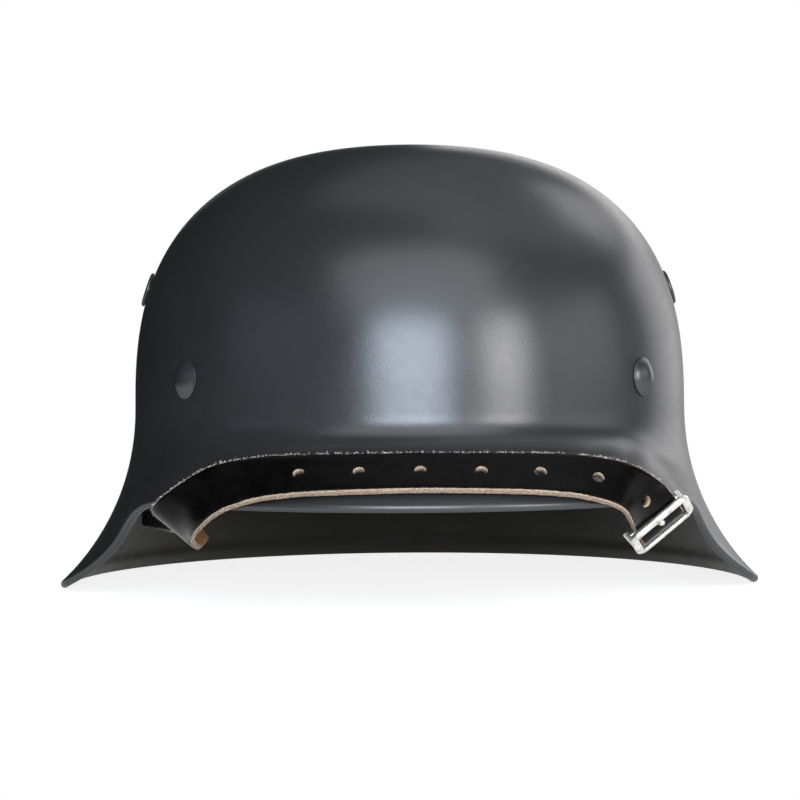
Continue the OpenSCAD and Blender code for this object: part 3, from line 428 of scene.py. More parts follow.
def loft(rings, sides, place, closed=False, faceIndex=None, uv=None):
    # A tube of rings, made by spinning one circle, that place(ring, side) then lays out.
    bm = bmesh.new()
    away = 3  # the circle of radius 1 is spun round at this distance
    bmesh.ops.create_circle(
        bm, segments=sides, radius=1, matrix=Matrix.Translation((away, 0, 0)) @ turn(90, "X"))
    step = 2 * math.pi / rings
    count = rings if closed else rings - 1
    spin(bm, step * count, count, closed)
    if not closed:
        bmesh.ops.holes_fill(bm, edges=bm.edges[:], sides=0)
    code = {}
    for v in bm.verts:
        x, y, z = v.co
        i = round(math.atan2(y, x) / step) % rings
        k = round(math.atan2(z, math.hypot(x, y) - away) / (2 * math.pi / sides)) % sides
        code[v] = (i, k)
    layer = bm.loops.layers.uv.new("UVMap") if uv else None
    for face in bm.faces:
        places = [code[v] for v in face.verts]
        if faceIndex:
            face.material_index = faceIndex(places)
        if uv:
            # a face across the seam counts on past the last ring or side
            seamI, seamK = (max(c) - min(c) > 1 for c in zip(*places))
            for loop, (i, k) in zip(face.loops, places):
                i += rings if closed and seamI and i == 0 else 0
                k += sides if seamK and k == 0 and len(places) == 4 else 0
                loop[layer].uv = uv(i, k)
    for v in bm.verts:
        v.co = Vector(place(*code[v])) * mm
    bmesh.ops.recalc_face_normals(bm, faces=bm.faces[:])
    return bm


def turned(rows, turns, place, ring=False, drop=None):
    # A skin of rows by turns, made by spinning a line, that place(turn, row) then lays out. With
    # ring the last row joins the first one, and drop(places) tells which faces are left out.
    bm = bmesh.new()
    line = [bm.verts.new((1 + j, 0, 0)) for j in range(rows)]
    for a, b in zip(line, line[1:]):
        bm.edges.new((a, b))
    spin(bm, 2 * math.pi, turns, True)
    step = 2 * math.pi / turns
    code = {}
    for v in bm.verts:
        x, y, z = v.co
        code[v] = (round(math.atan2(y, x) / step) % turns, round(math.hypot(x, y)) - 1)
    if ring:
        loops = {0: [None] * turns, rows - 1: [None] * turns}
        for v, (i, j) in code.items():
            if j in loops:
                loops[j][i] = v
        edges = [bm.edges.get((loop[i - 1], loop[i])) for loop in loops.values() for i in range(turns)]
        bmesh.ops.bridge_loops(bm, edges=edges)
    if drop:
        away = [f for f in bm.faces if drop([code[v] for v in f.verts])]
        bmesh.ops.delete(bm, geom=away, context="FACES")
        code = {v: c for v, c in code.items() if v.is_valid}
    for v, (i, j) in code.items():
        v.co = Vector(place(i, j)) * mm
    bmesh.ops.remove_doubles(bm, verts=bm.verts[:], dist=1e-6)
    bmesh.ops.recalc_face_normals(bm, faces=bm.faces[:])
    return bm


def lathe(outline, matrix, ring=True, steps=64):
    # A turned form from [radius, height] points in mm, set by a matrix in metres.
    def place(i, j):
        r, h = outline[j]
        t = 2 * math.pi * i / steps
        return matrix @ Vector((r * math.cos(t) * mm, r * math.sin(t) * mm, h * mm)) / mm

    return turned(len(outline), steps, place, ring=ring)


# Paths

def around(values, i):
    # The values before, at and after step i, continued straight past the ends.
    n = len(values)
    before = values[i - 1] if i else 2 * values[0] - values[1]
    after = values[i + 2] if i + 2 < n else 2 * values[-1] - values[-2]
    return [before, values[i], values[i + 1], after]


def through(values, points, t):
    # Value between the middle two of four, with knots spaced by the points.
    k = [0.0]
    for a, b in zip(points, points[1:]):
        k.append(k[-1] + math.sqrt(np.linalg.norm(np.asarray(b) - np.asarray(a))))
    at = mix(k[1], k[2], t)

    def between(p, q, low, high):
        return mix(p, q, (at - low) / (high - low))

    a = between(values[0], values[1], k[0], k[1])
    b = between(values[1], values[2], k[1], k[2])
    c = between(values[2], values[3], k[2], k[3])
    return between(between(a, b, k[0], k[2]), between(b, c, k[1], k[3]), k[1], k[2])


def smoothPath(points, steps, closed=False):
    # Points along a centripetal curve through the given ones.
    out = []
    n = len(points)
    for i in range(n if closed else n - 1):
        p = [points[(i + k - 1) % n] for k in range(4)] if closed else around(points, i)
        out += [through(p, p, k / steps) for k in range(steps)]
    return out if closed else out + [points[-1]]


def lengthsAlong(points):
    return np.concatenate([[0], np.cumsum(np.linalg.norm(np.diff(points, axis=0), axis=1))])


def cordTube(path, radius, sides=10, closed=False):
    # A round tube along a path in mm, with frames carried from ring to ring. The radius is one
    # number or a list with one for each point.
    n = len(path)
    path = [np.asarray(p, float) for p in path]
    radii = radius if isinstance(radius, list) else [radius] * n
    frames = []
    u = None
    for i in range(n):
        after = path[(i + 1) % n if closed else min(n - 1, i + 1)]
        d = unit(after - path[i - 1 if closed else max(0, i - 1)])
        if u is None:
            u = unit(np.cross(d, [0.1, 0.2, 1]))
        u = unit(u - d * np.dot(u, d))
        frames.append((u, np.cross(d, u)))
    lengths = lengthsAlong(path)

    def place(i, k):
        t = 2 * math.pi * k / sides
        return path[i] + radii[i] * (frames[i][0] * math.cos(t) + frames[i][1] * math.sin(t))

    def uv(i, k):
        return (lengths[min(i, n - 1)] * mm, k / sides)

    return loft(n, sides, place, closed=closed, uv=uv)


# The helmet's form, in millimetres round the crown's axis

form = {
    "crownHalfW": 93.7, "crownHalfL": 112, "crownH": 150.4, "wallZ": 62, "domePower": 2.57, "sheet": 1.2,
    "visorReach": 147, "visorPlanR": 91, "visorZ": 34.6, "dropStart": 34, "dropEnd": 92, "mergeStart": 36,
    "mergeEnd": 88, "skirtHalfW": 120, "skirtReach": 135, "skirtBack": 10, "hemW": 5.5, "hemT": 2.8,
    "flareOutSkirt": 0.53, "flareOutVisor": 0.43, "flareUpSkirt": 0.195, "flareUpVisor": 0.45,
    "holdSkirt": 0.44, "holdVisor": 0.6, "pinA": 45, "pinZ": 72, "ventA": 86, "ventZ": 102,
}
hat = SimpleNamespace(**form)
crownY = (hat.visorReach - hat.skirtReach) / 2
crownShift = np.array([0, crownY, 0])


def turnOf(a):
    b = abs(a) % 360
    return 360 - b if b > 180 else b


def visorShare(a):
    return 1 - ease(turnOf(a), hat.dropStart, hat.dropEnd)


def crownR(a, inset=0.0):
    return 1 / math.hypot(sind(a) / (hat.crownHalfW - inset), cosd(a) / (hat.crownHalfL - inset))


def facing(a):
    return math.degrees(math.atan2(sind(a) / hat.crownHalfW ** 2, cosd(a) / hat.crownHalfL ** 2))


def visorR(a):
    c = hat.visorReach - hat.visorPlanR
    return c * cosd(a) + math.sqrt(hat.visorPlanR ** 2 - (c * sind(a)) ** 2)


def skirtR(a):
    halfL = hat.skirtReach - hat.skirtBack
    qa = (sind(a) / hat.skirtHalfW) ** 2 + (cosd(a) / halfL) ** 2
    qb = 2 * cosd(a) * hat.skirtBack / halfL ** 2
    qc = (hat.skirtBack / halfL) ** 2 - 1
    return (math.sqrt(qb * qb - 4 * qa * qc) - qb) / (2 * qa)


def rimR(a):
    return mix(visorR(a), skirtR(a), ease(turnOf(a), hat.mergeStart, hat.mergeEnd))


def rimZ(a):
    return hat.visorZ * visorShare(a)


def polar(a, r, z):
    return np.array([r * sind(a), -r * cosd(a), z])


def flareRun(a):
    share = visorShare(a)
    return np.array([
        mix(hat.flareOutSkirt, hat.flareOutVisor, share) * (rimR(a) - crownR(a)),
        -mix(hat.flareUpSkirt, hat.flareUpVisor, share) * (hat.wallZ - rimZ(a)),
    ])


def flareCtrl(a):
    # Control points of the flare, from the foot of the dome to the hem.
    run = flareRun(a)
    end = np.array([rimR(a), rimZ(a) + hat.hemT / 2 * (1 + run[0] / np.linalg.norm(run))])
    top = np.array([crownR(a), hat.wallZ])
    hold = mix(hat.holdSkirt, hat.holdVisor, visorShare(a))
    return top, np.array([top[0], top[1] - hold * (top[1] - end[1])]), end - run, end


def profile(a, s, ctrl=None):
    # [radius, height] of the outside: s runs from 0 at the top over 1 at the foot of the dome to 2.
    if s <= 1:
        return np.array([
            crownR(a) * max(0.0, sind(90 * s)) ** (2 / hat.domePower),
            hat.wallZ + (hat.crownH - hat.wallZ) * max(0.0, cosd(90 * s)) ** (2 / hat.domePower),
        ])
    p0, p1, p2, p3 = ctrl or flareCtrl(a)
    u = s - 1
    return p0 * (1 - u) ** 3 + p1 * 3 * u * (1 - u) ** 2 + p2 * 3 * u * u * (1 - u) + p3 * u ** 3


def along(a, s, ctrl=None):
    nudge = 0.004
    return unit(profile(a, min(s + nudge, 2), ctrl) - profile(a, min(s, 2 - nudge), ctrl))


def outward(a, s, ctrl=None):
    d = along(a, s, ctrl)
    return np.array([-d[1], d[0]])


def skin(a, s, inset, ctrl=None):
    return profile(a, s, ctrl) - inset * outward(a, s, ctrl)


def hemS(a):
    return 2 - hat.hemW / (3 * np.linalg.norm(flareRun(a)))


def domeShare(z):
    return max(0.0, (z - hat.wallZ) / (hat.crownH - hat.wallZ))


def wallR(a, z):
    return crownR(a) * (1 - domeShare(z) ** hat.domePower) ** (1 / hat.domePower)


def lean(a, z):
    t = domeShare(z)
    fall = t ** (hat.domePower - 1) * (1 - t ** hat.domePower) ** (1 / hat.domePower - 1)
    return math.degrees(math.atan(crownR(a) / (hat.crownH - hat.wallZ) * fall))


def onShell(a, z):
    # Matrix in metres whose Z points out of the shell and whose Y points up it.
    return moved(*(polar(a, wallR(a, z), z) + crownShift)) @ turn(facing(a), "Z") @ turn(90 - lean(a, z), "X")


# Shell. The lip is the step behind the hem: shift along the shell, share from hem to sheet.

shell = {
    "turns": 216, "domeRows": 40, "flareRows": 26, "hemSteps": 12, "hemLead": 0.06, "hemRow": 0.03, "midZ": 30,
    "lip": ((0.0, 0.06), (-0.012, 0.3), (-0.026, 0.7), (-0.04, 0.94)),
}


def shellSlice(a):
    # Down the outside, round the folded hem and up the inside, as [radius, height].
    ctrl = flareCtrl(a)
    top = hemS(a)
    flare = top - shell["hemLead"] - 1
    down = [i / shell["domeRows"] for i in range(1, shell["domeRows"] + 1)]
    down += [1 + flare * i / shell["flareRows"] for i in range(1, shell["flareRows"] + 1)]
    end = [mix(top, 2, t) for t in (0.25, 0.5, 0.75)]
    n, d = outward(a, 2, ctrl), along(a, 2, ctrl)
    half = hat.hemT / 2
    mid = profile(a, 2, ctrl) - n * half
    fold = [mid + half * (n * cosd(t) + d * sind(t)) for t in np.linspace(0, 180, shell["hemSteps"] + 1)]
    back = [skin(a, s, hat.hemT, ctrl) for s in reversed(end)]
    lip = [skin(a, top + t, mix(hat.hemT, hat.sheet, share), ctrl) for t, share in shell["lip"]]
    return (
        [np.array([0.0, hat.crownH])]
        + [profile(a, s, ctrl) for s in down + [top - shell["hemRow"], top] + end] + fold + back + lip
        + [skin(a, s, hat.sheet, ctrl) for s in reversed(down)]
        + [np.array([0.0, hat.crownH - hat.sheet])]
    )


def makeShell():
    turns = shell["turns"]
    slices = [shellSlice(360 * i / turns) for i in range(turns)]

    def place(i, j):
        return polar(360 * i / turns, *slices[i][j]) + crownShift

    bm = turned(len(slices[0]), turns, place)
    middle = Vector((0, crownY, shell["midZ"])) * mm
    for face in bm.faces:
        # faces turned inwards take the inner paint, which carries painted shade
        face.material_index = int(face.normal.dot(face.calc_center_median() - middle) < 0)
    piece = newPiece("shellSkin", bm, [paint, inside], 50)
    cutters = []
    for side in (-1, 1):
        where = onShell(side * hat.ventA, hat.ventZ)
        cutters.append(rodCutter(f"ventHole{side}", vent["holeR"], 12, where, [paint, inside], 32))
    carve(piece, cutters)
    dress(piece, "helmet", "shell_paint", "shell")
    print("shell", len(piece.data.polygons))


# Vents and liner pins

vent = {
    "boreR": 2.7, "tubeR": 3.6, "holeR": 3.8, "flangeR": 5.9, "flangeT": 1.2, "seat": 0.1, "innerT": 0.8,
    "sink": 0.4,
}
pin = {
    "headD": 12.4, "headH": 2.6, "seat": 0.1, "shank": 4.6, "leg": 7.5, "legW": 3.6, "legT": 0.8,
    "legTop": -4.9, "soft": 0.25,
}


def makeVents():
    v = vent
    r, fr, ft, seat = v["boreR"], v["flangeR"], v["flangeT"], v["seat"]
    top = -hat.sheet - v["sink"]
    low = top - v["innerT"]
    outline = [
        (r, low + 0.2), (r + 0.2, low), (fr - 1.3, low), (fr - 1.05, low + 0.2), (fr - 1, top - 0.3),
        (v["tubeR"], top - 0.1), (v["tubeR"], seat), (fr - 0.1, seat), (fr, seat + 0.2),
        (fr, 0.5 * ft), (fr - 0.12, 0.72 * ft), (fr - 0.38, 0.9 * ft), (fr - 0.75, ft),
        (r + 0.7, ft), (r + 0.3, ft - 0.12), (r + 0.06, ft - 0.4), (r, ft - 0.8),
    ]
    for side, word in ((-1, "left"), (1, "right")):
        bm = lathe(outline, onShell(side * hat.ventA, hat.ventZ))
        piece = newPiece(f"ventRing{word.title()}", bm, [paint], 35)
        dress(piece, "helmet", "shell_paint", f"vent_bushing_{word}")
    print("vents")


def makePins():
    r, h, seat = pin["headD"] / 2, pin["headH"], pin["seat"]
    ball = (r * r + h * h) / (2 * h)  # radius of the domed head
    top = [(0, h + seat)]
    for i in range(1, 12):
        t = i / 12 * math.asin(r / ball)
        top.append((ball * math.sin(t), h + seat - ball + ball * math.cos(t)))
    shank, end = pin["shank"] / 2, pin["legTop"] - pin["legT"]
    edge = [(r - 0.05, 0.34), (r, 0.2), (r - 0.06, seat)]
    outline = top + edge + [(shank, seat), (shank, end), (0, end)]
    for a, word in ((-hat.pinA, "front_left"), (hat.pinA, "front_right"), (180, "rear")):
        place = onShell(a, hat.pinZ)
        bm = lathe(outline, place, ring=False)
        # the split shank's two legs, bent flat along the outer band
        size = (2 * pin["leg"], pin["legW"], pin["legT"])
        legs = addBlock(bm, size, place @ moved(0, 0, end + pin["legT"] / 2))
        edges = {e for v in legs["verts"] for e in v.link_edges}
        bmesh.ops.bevel(
            bm, geom=list(edges), offset=pin["soft"] * mm, affect="EDGES", segments=2, profile=0.5, material=-1)
        piece = newPiece("pin" + word.title().replace("_", ""), bm, [paint], 35)
        dress(piece, "helmet", "shell_paint", f"liner_pin_{word}")
    print("liner pins")


# Liner bands and felt

liner = {
    "outer": {"inset": 2.6, "thick": 1, "z": 62, "high": 20},
    "inner": {"inset": 8.2, "thick": 1, "z": 54, "high": 26},
    "felt": {"inset": 9.4, "thick": 2, "z": 62, "high": 17, "corner": 0.8, "rough": 0.12},
    "turns": 216,
}


def hoopSection(thick, high, c, sides=10, bend=0.3):
    # A rectangle with corners of radius c: each quarter bends round one, then runs to the next.
    corners = ((-1, -1), (1, -1), (1, 1), (-1, 1))

    def at(q, degrees):
        x, z = corners[q % 4]
        return np.array([x * (thick / 2 - c) + c * cosd(degrees), z * (high / 2 - c) + c * sind(degrees)])

    section = []
    for q in range(4):
        for t in np.arange(sides) / sides:
            if t < bend:
                section.append(at(q, 90 * (q + 2 + t / bend)))
            else:
                section.append(mix(at(q, 90 * (q + 3)), at(q + 1, 90 * (q + 3)), (t - bend) / (1 - bend)))
    return section


def makeHoop(name, material, inset, thick, z, high, corner=0.3, rough=0.0):
    # A hoop that follows the crown's outline, with softened edges.
    section = hoopSection(thick, high, min(corner, thick / 2 - 0.02))
    turns = liner["turns"]

    def place(i, k):
        a = 360 * i / turns
        across, up = section[k]
        p = polar(a, crownR(a, inset + thick / 2 - across), z + high / 2 + up) + crownShift
        if rough:
            p = p + rough * np.array(noise.noise_vector(Vector(p) * 0.35))
        return p

    return newPiece(name, loft(turns, len(section), place, closed=True), [material], 40)


def clothe(name, material):
    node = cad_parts[name]
    node.data.materials.clear()
    node.data.materials.append(material)


def makeBands():
    outer = makeHoop("outerBand", zinc, **liner["outer"])
    dress(outer, "helmet", "liner_steel", "liner_outer_band")
    inner = makeHoop("innerBand", zinc, **liner["inner"])
    dress(inner, "helmet", "liner_steel", "liner_inner_band")
    felt = makeHoop("feltRing", wool, **liner["felt"])
    dress(felt, "helmet", "felt", "felt_ring")
    for name in ("pin_washers", "spring_rivets", "leather_rivets", "bracket_rivets"):
        clothe(name, zinc)
    for i in range(1, 7):
        clothe(f"band_spring_{i}", zinc)
    for word in ("left", "right"):
        clothe(f"bail_bracket_{word}", zinc)
        clothe(f"strap_stud_{word}", wire)
    print("bands and felt")


# Leather liner and its tie string

hideForm = {
    "t": 1.6, "z": 50, "innerZ": 54, "lowInset": 9.4, "topInset": 11.6, "stepZ": 62.6, "fingerZ": 82,
    "topZ": 127, "tipR": 24, "fingers": 8, "cols": 17, "rows": 22, "power": 2.3, "rootA": 21.3, "endA": 17,
    "tipRound": 0.16, "uneven": 0.5,
}
tie = {
    "d": 1.8, "margin": 5, "hole": 5, "clear": 0.3, "dive": 0.06, "knot": (1.5, 0.9, 1.4), "knotR": 0.85,
    "end": 22, "stops": (0.03, 0.1, 0.22, 0.5, 0.78, 0.9, 0.97),
}


def fingerTurn(a, r):
    # Degrees up the finger's curve to where it is r from the axis.
    h = hideForm
    return math.degrees(math.acos((r / crownR(a, h["topInset"])) ** (h["power"] / 2)))


def fingerLine(a, q):
    h = hideForm
    t = q * fingerTurn(a, h["tipR"])
    return np.array([
        crownR(a, h["topInset"]) * cosd(t) ** (2 / h["power"]),
        h["fingerZ"] + (h["topZ"] - h["fingerZ"]) * max(0.0, sind(t)) ** (2 / h["power"]),
    ])


def fingerSkin(a, q, inset):
    d = unit(fingerLine(a, q + 0.004) - fingerLine(a, max(0.0, q - 0.004)))
    return fingerLine(a, q) - inset * np.array([d[1], -d[0]])


def stringBase(a):
    h = hideForm
    q = fingerTurn(a, h["tipR"] + tie["margin"]) / fingerTurn(a, h["tipR"])
    return fingerSkin(a, q, h["t"] / 2)


def makeLiner():
    h = hideForm
    low, top, z = h["lowInset"], h["topInset"], h["innerZ"]
    band = [
        (low, h["z"]), (low, h["z"] + 2.5), (low, z + 3.4), (low, z + 5.0), (low + 0.6, z + 6.2),
        (top - 0.5, z + 7.2), (top, h["stepZ"]),
    ]
    band += [(top, mix(h["stepZ"], h["fingerZ"], i / 6)) for i in range(1, 7)]
    cols, root = h["cols"], len(band) - 1

    def place(i, j):
        finger, col = divmod(i, cols)
        q = max(0.0, (j - root) / h["rows"])
        share = 2 * col / (cols - 1) - 1
        a = 360 * (finger + 0.5) / h["fingers"] + mix(h["rootA"], h["endA"], q) * share
        if j <= root:
            inset, z = band[j]
            p = polar(a, crownR(a, inset + h["t"] / 2), z)
        else:
            # the tips are rounded, and the hide is never quite even
            tip = 1 - h["tipRound"] * ease(q, 0.75, 1) * share ** 4
            p = polar(a, *fingerSkin(a, q * tip, h["t"] / 2))
            p = p + h["uneven"] * ease(q, 0, 0.3) * np.array(noise.noise_vector(Vector(p) * 0.05))
        return p + crownShift

    def gap(places):
        # faces between one finger's last column and the next one's first, above the headband
        columns = {i % cols for i, j in places}
        return {0, cols - 1} <= columns and min(j for i, j in places) >= root

    bm = turned(len(band) + h["rows"], h["fingers"] * cols, place, drop=gap)
    bmesh.ops.solidify(bm, geom=bm.faces[:], thickness=-h["t"] * mm)
    bm.normal_update()
    bmesh.ops.recalc_face_normals(bm, faces=bm.faces[:])
    piece = newPiece("linerHide", bm, [hide], 50)
    cutters = []
    for f in range(h["fingers"]):
        a = 360 * (f + 0.5) / h["fingers"]
        where = moved(*(polar(a, *stringBase(a)) + crownShift))
        cutters.append(rodCutter(f"tieHole{f}", tie["hole"] / 2, 12, where, [hide], 24))
    carve(piece, cutters)
    dress(piece, "helmet", "liner_leather", "leather_liner")
    print("leather liner", len(piece.data.polygons))


def stringPoint(gap, t):
    # From one finger's hole to the next one's, over and under the hide by turns.
    a = 360 * (gap + 0.5 + t) / hideForm["fingers"]
    swing = hideForm["t"] / 2 + tie["d"] / 2 + tie["clear"]
    rise = swing * min(1, min(t, 1 - t) / tie["dive"])
    r, z = stringBase(a)
    return polar(a, r, z + (rise if gap % 2 == 0 else -rise)) + crownShift


def makeString():
    fingers = hideForm["fingers"]
    loopPath = smoothPath([stringPoint(g, t) for g in range(fingers) for t in tie["stops"]], 4, closed=True)
    bm = cordTube(loopPath, tie["d"] / 2, closed=True)
    middle = stringPoint(fingers - 1, 0.5)
    # a half knot of two crossed turns, with its two ends
    for tilt in (-1, 1):
        x, y, z = tie["knot"]
        ringPath = []
        for t in np.arange(16) * 22.5:
            ringPath.append(middle + np.array([x * cosd(t), y * sind(t) * tilt, z * sind(t)]))
        merge(bm, cordTube(ringPath, tie["knotR"], 8, closed=True))
        ends = []
        for t in np.linspace(0, 1, 14):
            sway = np.array([tilt * (0.6 + 7 * t), 3 * t + 0.8 * math.sin(5 * t), -tie["end"] * t ** 1.3])
            ends.append(middle + sway)
        merge(bm, cordTube(ends, tie["d"] / 2, 8))
    piece = newPiece("tieString", bm, [cord], 60)
    dress(piece, "helmet", "string", "tie_string")
    print("tie string")


# Bails

bailForm = {"d": 2.4, "w": 19, "h": 10, "corner": 1.9, "x": 87.7, "z": 54.8}


def roundedLoop(w, h, corner, arc=8, straight=6):
    # Middle line of a rounded rectangle, from the start of its lower right corner.
    signs = ((1, -1), (1, 1), (-1, 1), (-1, -1))

    def onCorner(q, share):
        x, y = signs[q % 4]
        t = 90 * (q - 1 + share)
        return np.array([x * (w / 2 - corner) + corner * cosd(t), y * (h / 2 - corner) + corner * sind(t)])

    points = []
    for q in range(4):
        points += [onCorner(q, i / arc) for i in range(arc + 1)]
        points += [mix(onCorner(q, 1), onCorner(q + 1, 0), i / straight) for i in range(1, straight)]
    return points


def makeBails():
    b = bailForm
    loop = roundedLoop(b["w"], b["h"], b["corner"])
    for side, word in ((-1, "left"), (1, "right")):
        path = [np.array([side * b["x"], y, b["z"] - b["h"] / 2 + z]) + crownShift for y, z in loop]
        piece = newPiece(f"bailWire{word.title()}", cordTube(path, b["d"] / 2, 20, closed=True), [wire], 60)
        dress(piece, f"bail_{word}", "wire", f"bail_{word}")
    print("bails")


# Chinstrap. The short part is pared thin and narrow where it loops round the buckle's axle.

strap = {
    "w": 15.5, "t": 2.1, "gap": 0.3, "drop": 3, "turn": 12, "ply": 17, "tail": 24, "holeD": 3.4, "pitch": 17.5,
    "lead": 10.3, "holes": 7, "pared": 1.2, "barR": 1.2, "barZ": 44.8, "hingeX": 87.7, "sag": 2.5, "ring": 1.1,
    "bulge": 1.5, "loopW": 11, "loopShift": 1.7, "slotPlay": 1.4, "slotBack": 2.4, "rough": 0.16, "swell": 0.05,
}
# Over the visor: half the sweep in degrees, the row on the shell, the lean in degrees and the lift
# in mm, with what they gain towards the ends.
sweep = {"endA": 24.5, "row": 1.806, "rowMid": 0.08, "rowEnd": 0.11, "lean": 13, "leanEnd": 6, "liftEnd": 0.9}
buckle = {
    "l": 12, "w": 19.2, "bar": 2.2, "side": 2.4, "t": 1.4, "axle": 1.8, "rear": 1.5, "axleAt": 2.0,
    "holeAt": -2.3, "prongT": 1.4, "prongW": 1.6, "ball": 2.0, "rise": 18, "play": 0.05, "wall": 0.6,
    "corner": 2.0, "square": 3.6, "round": 2.0, "postR": 1.0, "shankR": 0.78, "tipR": 0.62,
}
strapBend = strap["barR"] + strap["gap"] + strap["t"] / 2
outX = np.array([1.0, 0, 0])
acrossY = np.array([0, 1.0, 0])
upZ = np.array([0, 0, 1.0])


def station(point, out):
    return np.asarray(point, float), unit(out)


def nearRim(a, out, up):
    return polar(a, rimR(a) + out, rimZ(a) + up)


def visorStation(a):
    # The lower edge rests on the visor and the upper edge stands off it.
    t = abs(a) / sweep["endA"]
    s = sweep["row"] + sweep["rowMid"] * t ** 1.5 + sweep["rowEnd"] * t ** 5
    n = outward(a, s)
    b = sweep["lean"] + sweep["leanEnd"] * t ** 4
    lift = strap["t"] / 2 + strap["gap"] + strap["w"] / 2 * sind(b) + sweep["liftEnd"] * t ** 2
    out = polar(a, n[0] * cosd(b) + n[1] * sind(b), n[1] * cosd(b) - n[0] * sind(b))
    return station(polar(a, *skin(a, s, -lift)), out)


bailOut = strap["hingeX"] + strapBend
bailStations = [station([bailOut, 0, strap["barZ"]], outX)]
for t in (0, 22.5, 45, 67.5, 90):
    fall = strap["drop"] + strap["turn"] * sind(t)
    bailStations.append(station([bailOut, -strap["turn"] * (1 - cosd(t)), strap["barZ"] - fall], outX))
innerEnd = bailStations[-1][0]


def innerRun(goal, n):
    # From the bail to the first station under the rim, bowed inwards.
    out = []
    for t in (0.08, 0.22, 0.42, 0.65, 0.86):
        bow = 4 * strap["sag"] * t * (1 - t) * outX
        out.append(station(mix(innerEnd, goal, t) - bow, mix(outX, np.asarray(n), t)))
    return out


buckleAt = nearRim(31.5, 1, -4.7)
buckleAhead = unit([0.307, 0.849, -0.43])
buckleN = unit(np.cross(np.cross(buckleAhead, [0.54, -0.515, -0.634]), buckleAhead))
buckleAcross = np.cross(buckleAhead, buckleN)


def inBuckle(t, w, n):
    return buckleAt + buckleAhead * t + buckleAcross * w + buckleN * n


leftUnder = (nearRim(34.8, -10.6, -4.8), [0.78, 0.1, -0.62])
leftSide = bailStations + innerRun(*leftUnder) + [
    station(*leftUnder),
    station(nearRim(33.9, -4.8, -7.3), [0.67, 0.1, -0.74]),
    station(nearRim(32.7, 1.9, -5), [0.62, -0.3, -0.72]),
    station(nearRim(28.7, 4.2, 0.5), [0.4, -0.75, 0.15]),
]
rightUnder = (inBuckle(28, -1.8, -9.8), [0.75, 0, -0.66])
rightSide = bailStations + innerRun(*rightUnder) + [
    station(*rightUnder),
    station(inBuckle(20, -1, -6), [0.66, 0, -0.74]),
    station(inBuckle(12.5, -0.2, -2.4), [0.6, -0.3, -0.74]),
    station(inBuckle(buckle["l"] / 2, 0, -0.4), buckleN),
    station(inBuckle(0, 0, 0), buckleN),
    station(inBuckle(-buckle["l"] / 2, 0, 0), buckleN),
    station(nearRim(27.6, 3.6, 1.6), [0.43, -0.78, 0]),
]
flipX = np.array([-1, 1, 1])
stations = [(p * flipX, n * flipX) for p, n in leftSide]
stations += [visorStation(a) for a in (-sweep["endA"], -20, -15, -10, -5, 0, 5, 10, 15, 20, sweep["endA"])]
stations += rightSide[::-1]
lastStation = len(stations) - 1
frontAt = lastStation - len(rightSide) + 2
rearAt = frontAt + 2


class Route:
    # The strap's middle line with its outward side, read by length.

    def __init__(self, fine=24, spacing=0.25):
        points, normals = zip(*stations)
        self.x = np.arange(0, lastStation * fine + 1) / fine
        where, out = [], []
        for x in self.x:
            i = min(lastStation - 1, int(x))
            p, q = around(points, i), around(normals, i)
            where.append(through(p, p, x - i))
            out.append(through(q, p, x - i))
        self.lengths = lengthsAlong(where)
        self.total = self.lengths[-1]
        self.even = np.arange(0, self.total, spacing)
        self.p, n = (self.evenly(np.array(v)) for v in (where, out))
        d = self.units(np.gradient(self.p, axis=0))
        self.d = self.soften(d)
        w = self.soften(self.units(np.cross(d, n)))
        self.w = self.units(w - self.d * (w * self.d).sum(1)[:, None])
        self.n = np.cross(self.w, self.d)

    def evenly(self, v):
        return np.stack([np.interp(self.even, self.lengths, v[:, k]) for k in range(3)], 1)

    def units(self, v):
        return v / np.linalg.norm(v, axis=1)[:, None]

    def soften(self, v, reach=5):
        k = np.exp(-0.5 * (np.arange(-3 * reach, 3 * reach + 1) / reach) ** 2)
        k /= k.sum()
        pad = np.concatenate([np.repeat(v[:1], 3 * reach, 0), v, np.repeat(v[-1:], 3 * reach, 0)])
        return self.units(np.stack([np.convolve(pad[:, c], k, "valid") for c in range(3)], 1))

    def lengthAt(self, x):
        return float(np.interp(x, self.x, self.lengths))

    def xAt(self, length):
        return float(np.interp(length, self.lengths, self.x))

    def at(self, length, lift=0.0):
        def read(v):
            return np.array([np.interp(length, self.even, v[:, k]) for k in range(3)])

        w, n = unit(read(self.w)), unit(read(self.n))
        return read(self.p) + lift * n, w, n


route = Route()
rearL = route.lengthAt(rearAt)


def buckleX(alongBuckle):
    return frontAt + 1 + 2 * alongBuckle / buckle["l"]


axleL = route.lengthAt(buckleX(buckle["axleAt"]))
holeL = route.lengthAt(buckleX(buckle["holeAt"]))
loopR = buckle["axle"] / 2 + strap["gap"] / 2 + strap["pared"] / 2
axleDrop = strap["t"] / 2 + 2.3 * strap["gap"] + strap["pared"] / 2 + loopR - strap["bulge"]
axlePoint = inBuckle(buckle["axleAt"], 0, -axleDrop)
leftBar = np.array([-strap["hingeX"], 0, strap["barZ"]])
rightBar = leftBar * flipX


def longLift(length):
    # The long part rises over the axle, so that the short part's loop has room.
    x, top = route.xAt(length), buckleX(buckle["axleAt"])
    return strap["bulge"] * ease(x, frontAt + 0.4, top) * (1 - ease(x, top, rearAt))


def plyDrop(distance):
    return mix(2 * strapBend, strap["t"] + strap["gap"], ease(distance, 0, 4.5))


def loopFrames(mid, w, n, d, r, width, thick, count=14):
    # Round a bar from n to -n by way of d, as (point, across, outward, width, thickness).
    out = []
    for t in np.linspace(172, 8, count):
        o = n * cosd(t) + d * sind(t)
        out.append((mid + r * o, w, o, width, thick))
    return out


def barFrames(bar):
    return loopFrames(bar, acrossY, -outX, upZ, strapBend, strap["w"], strap["t"])


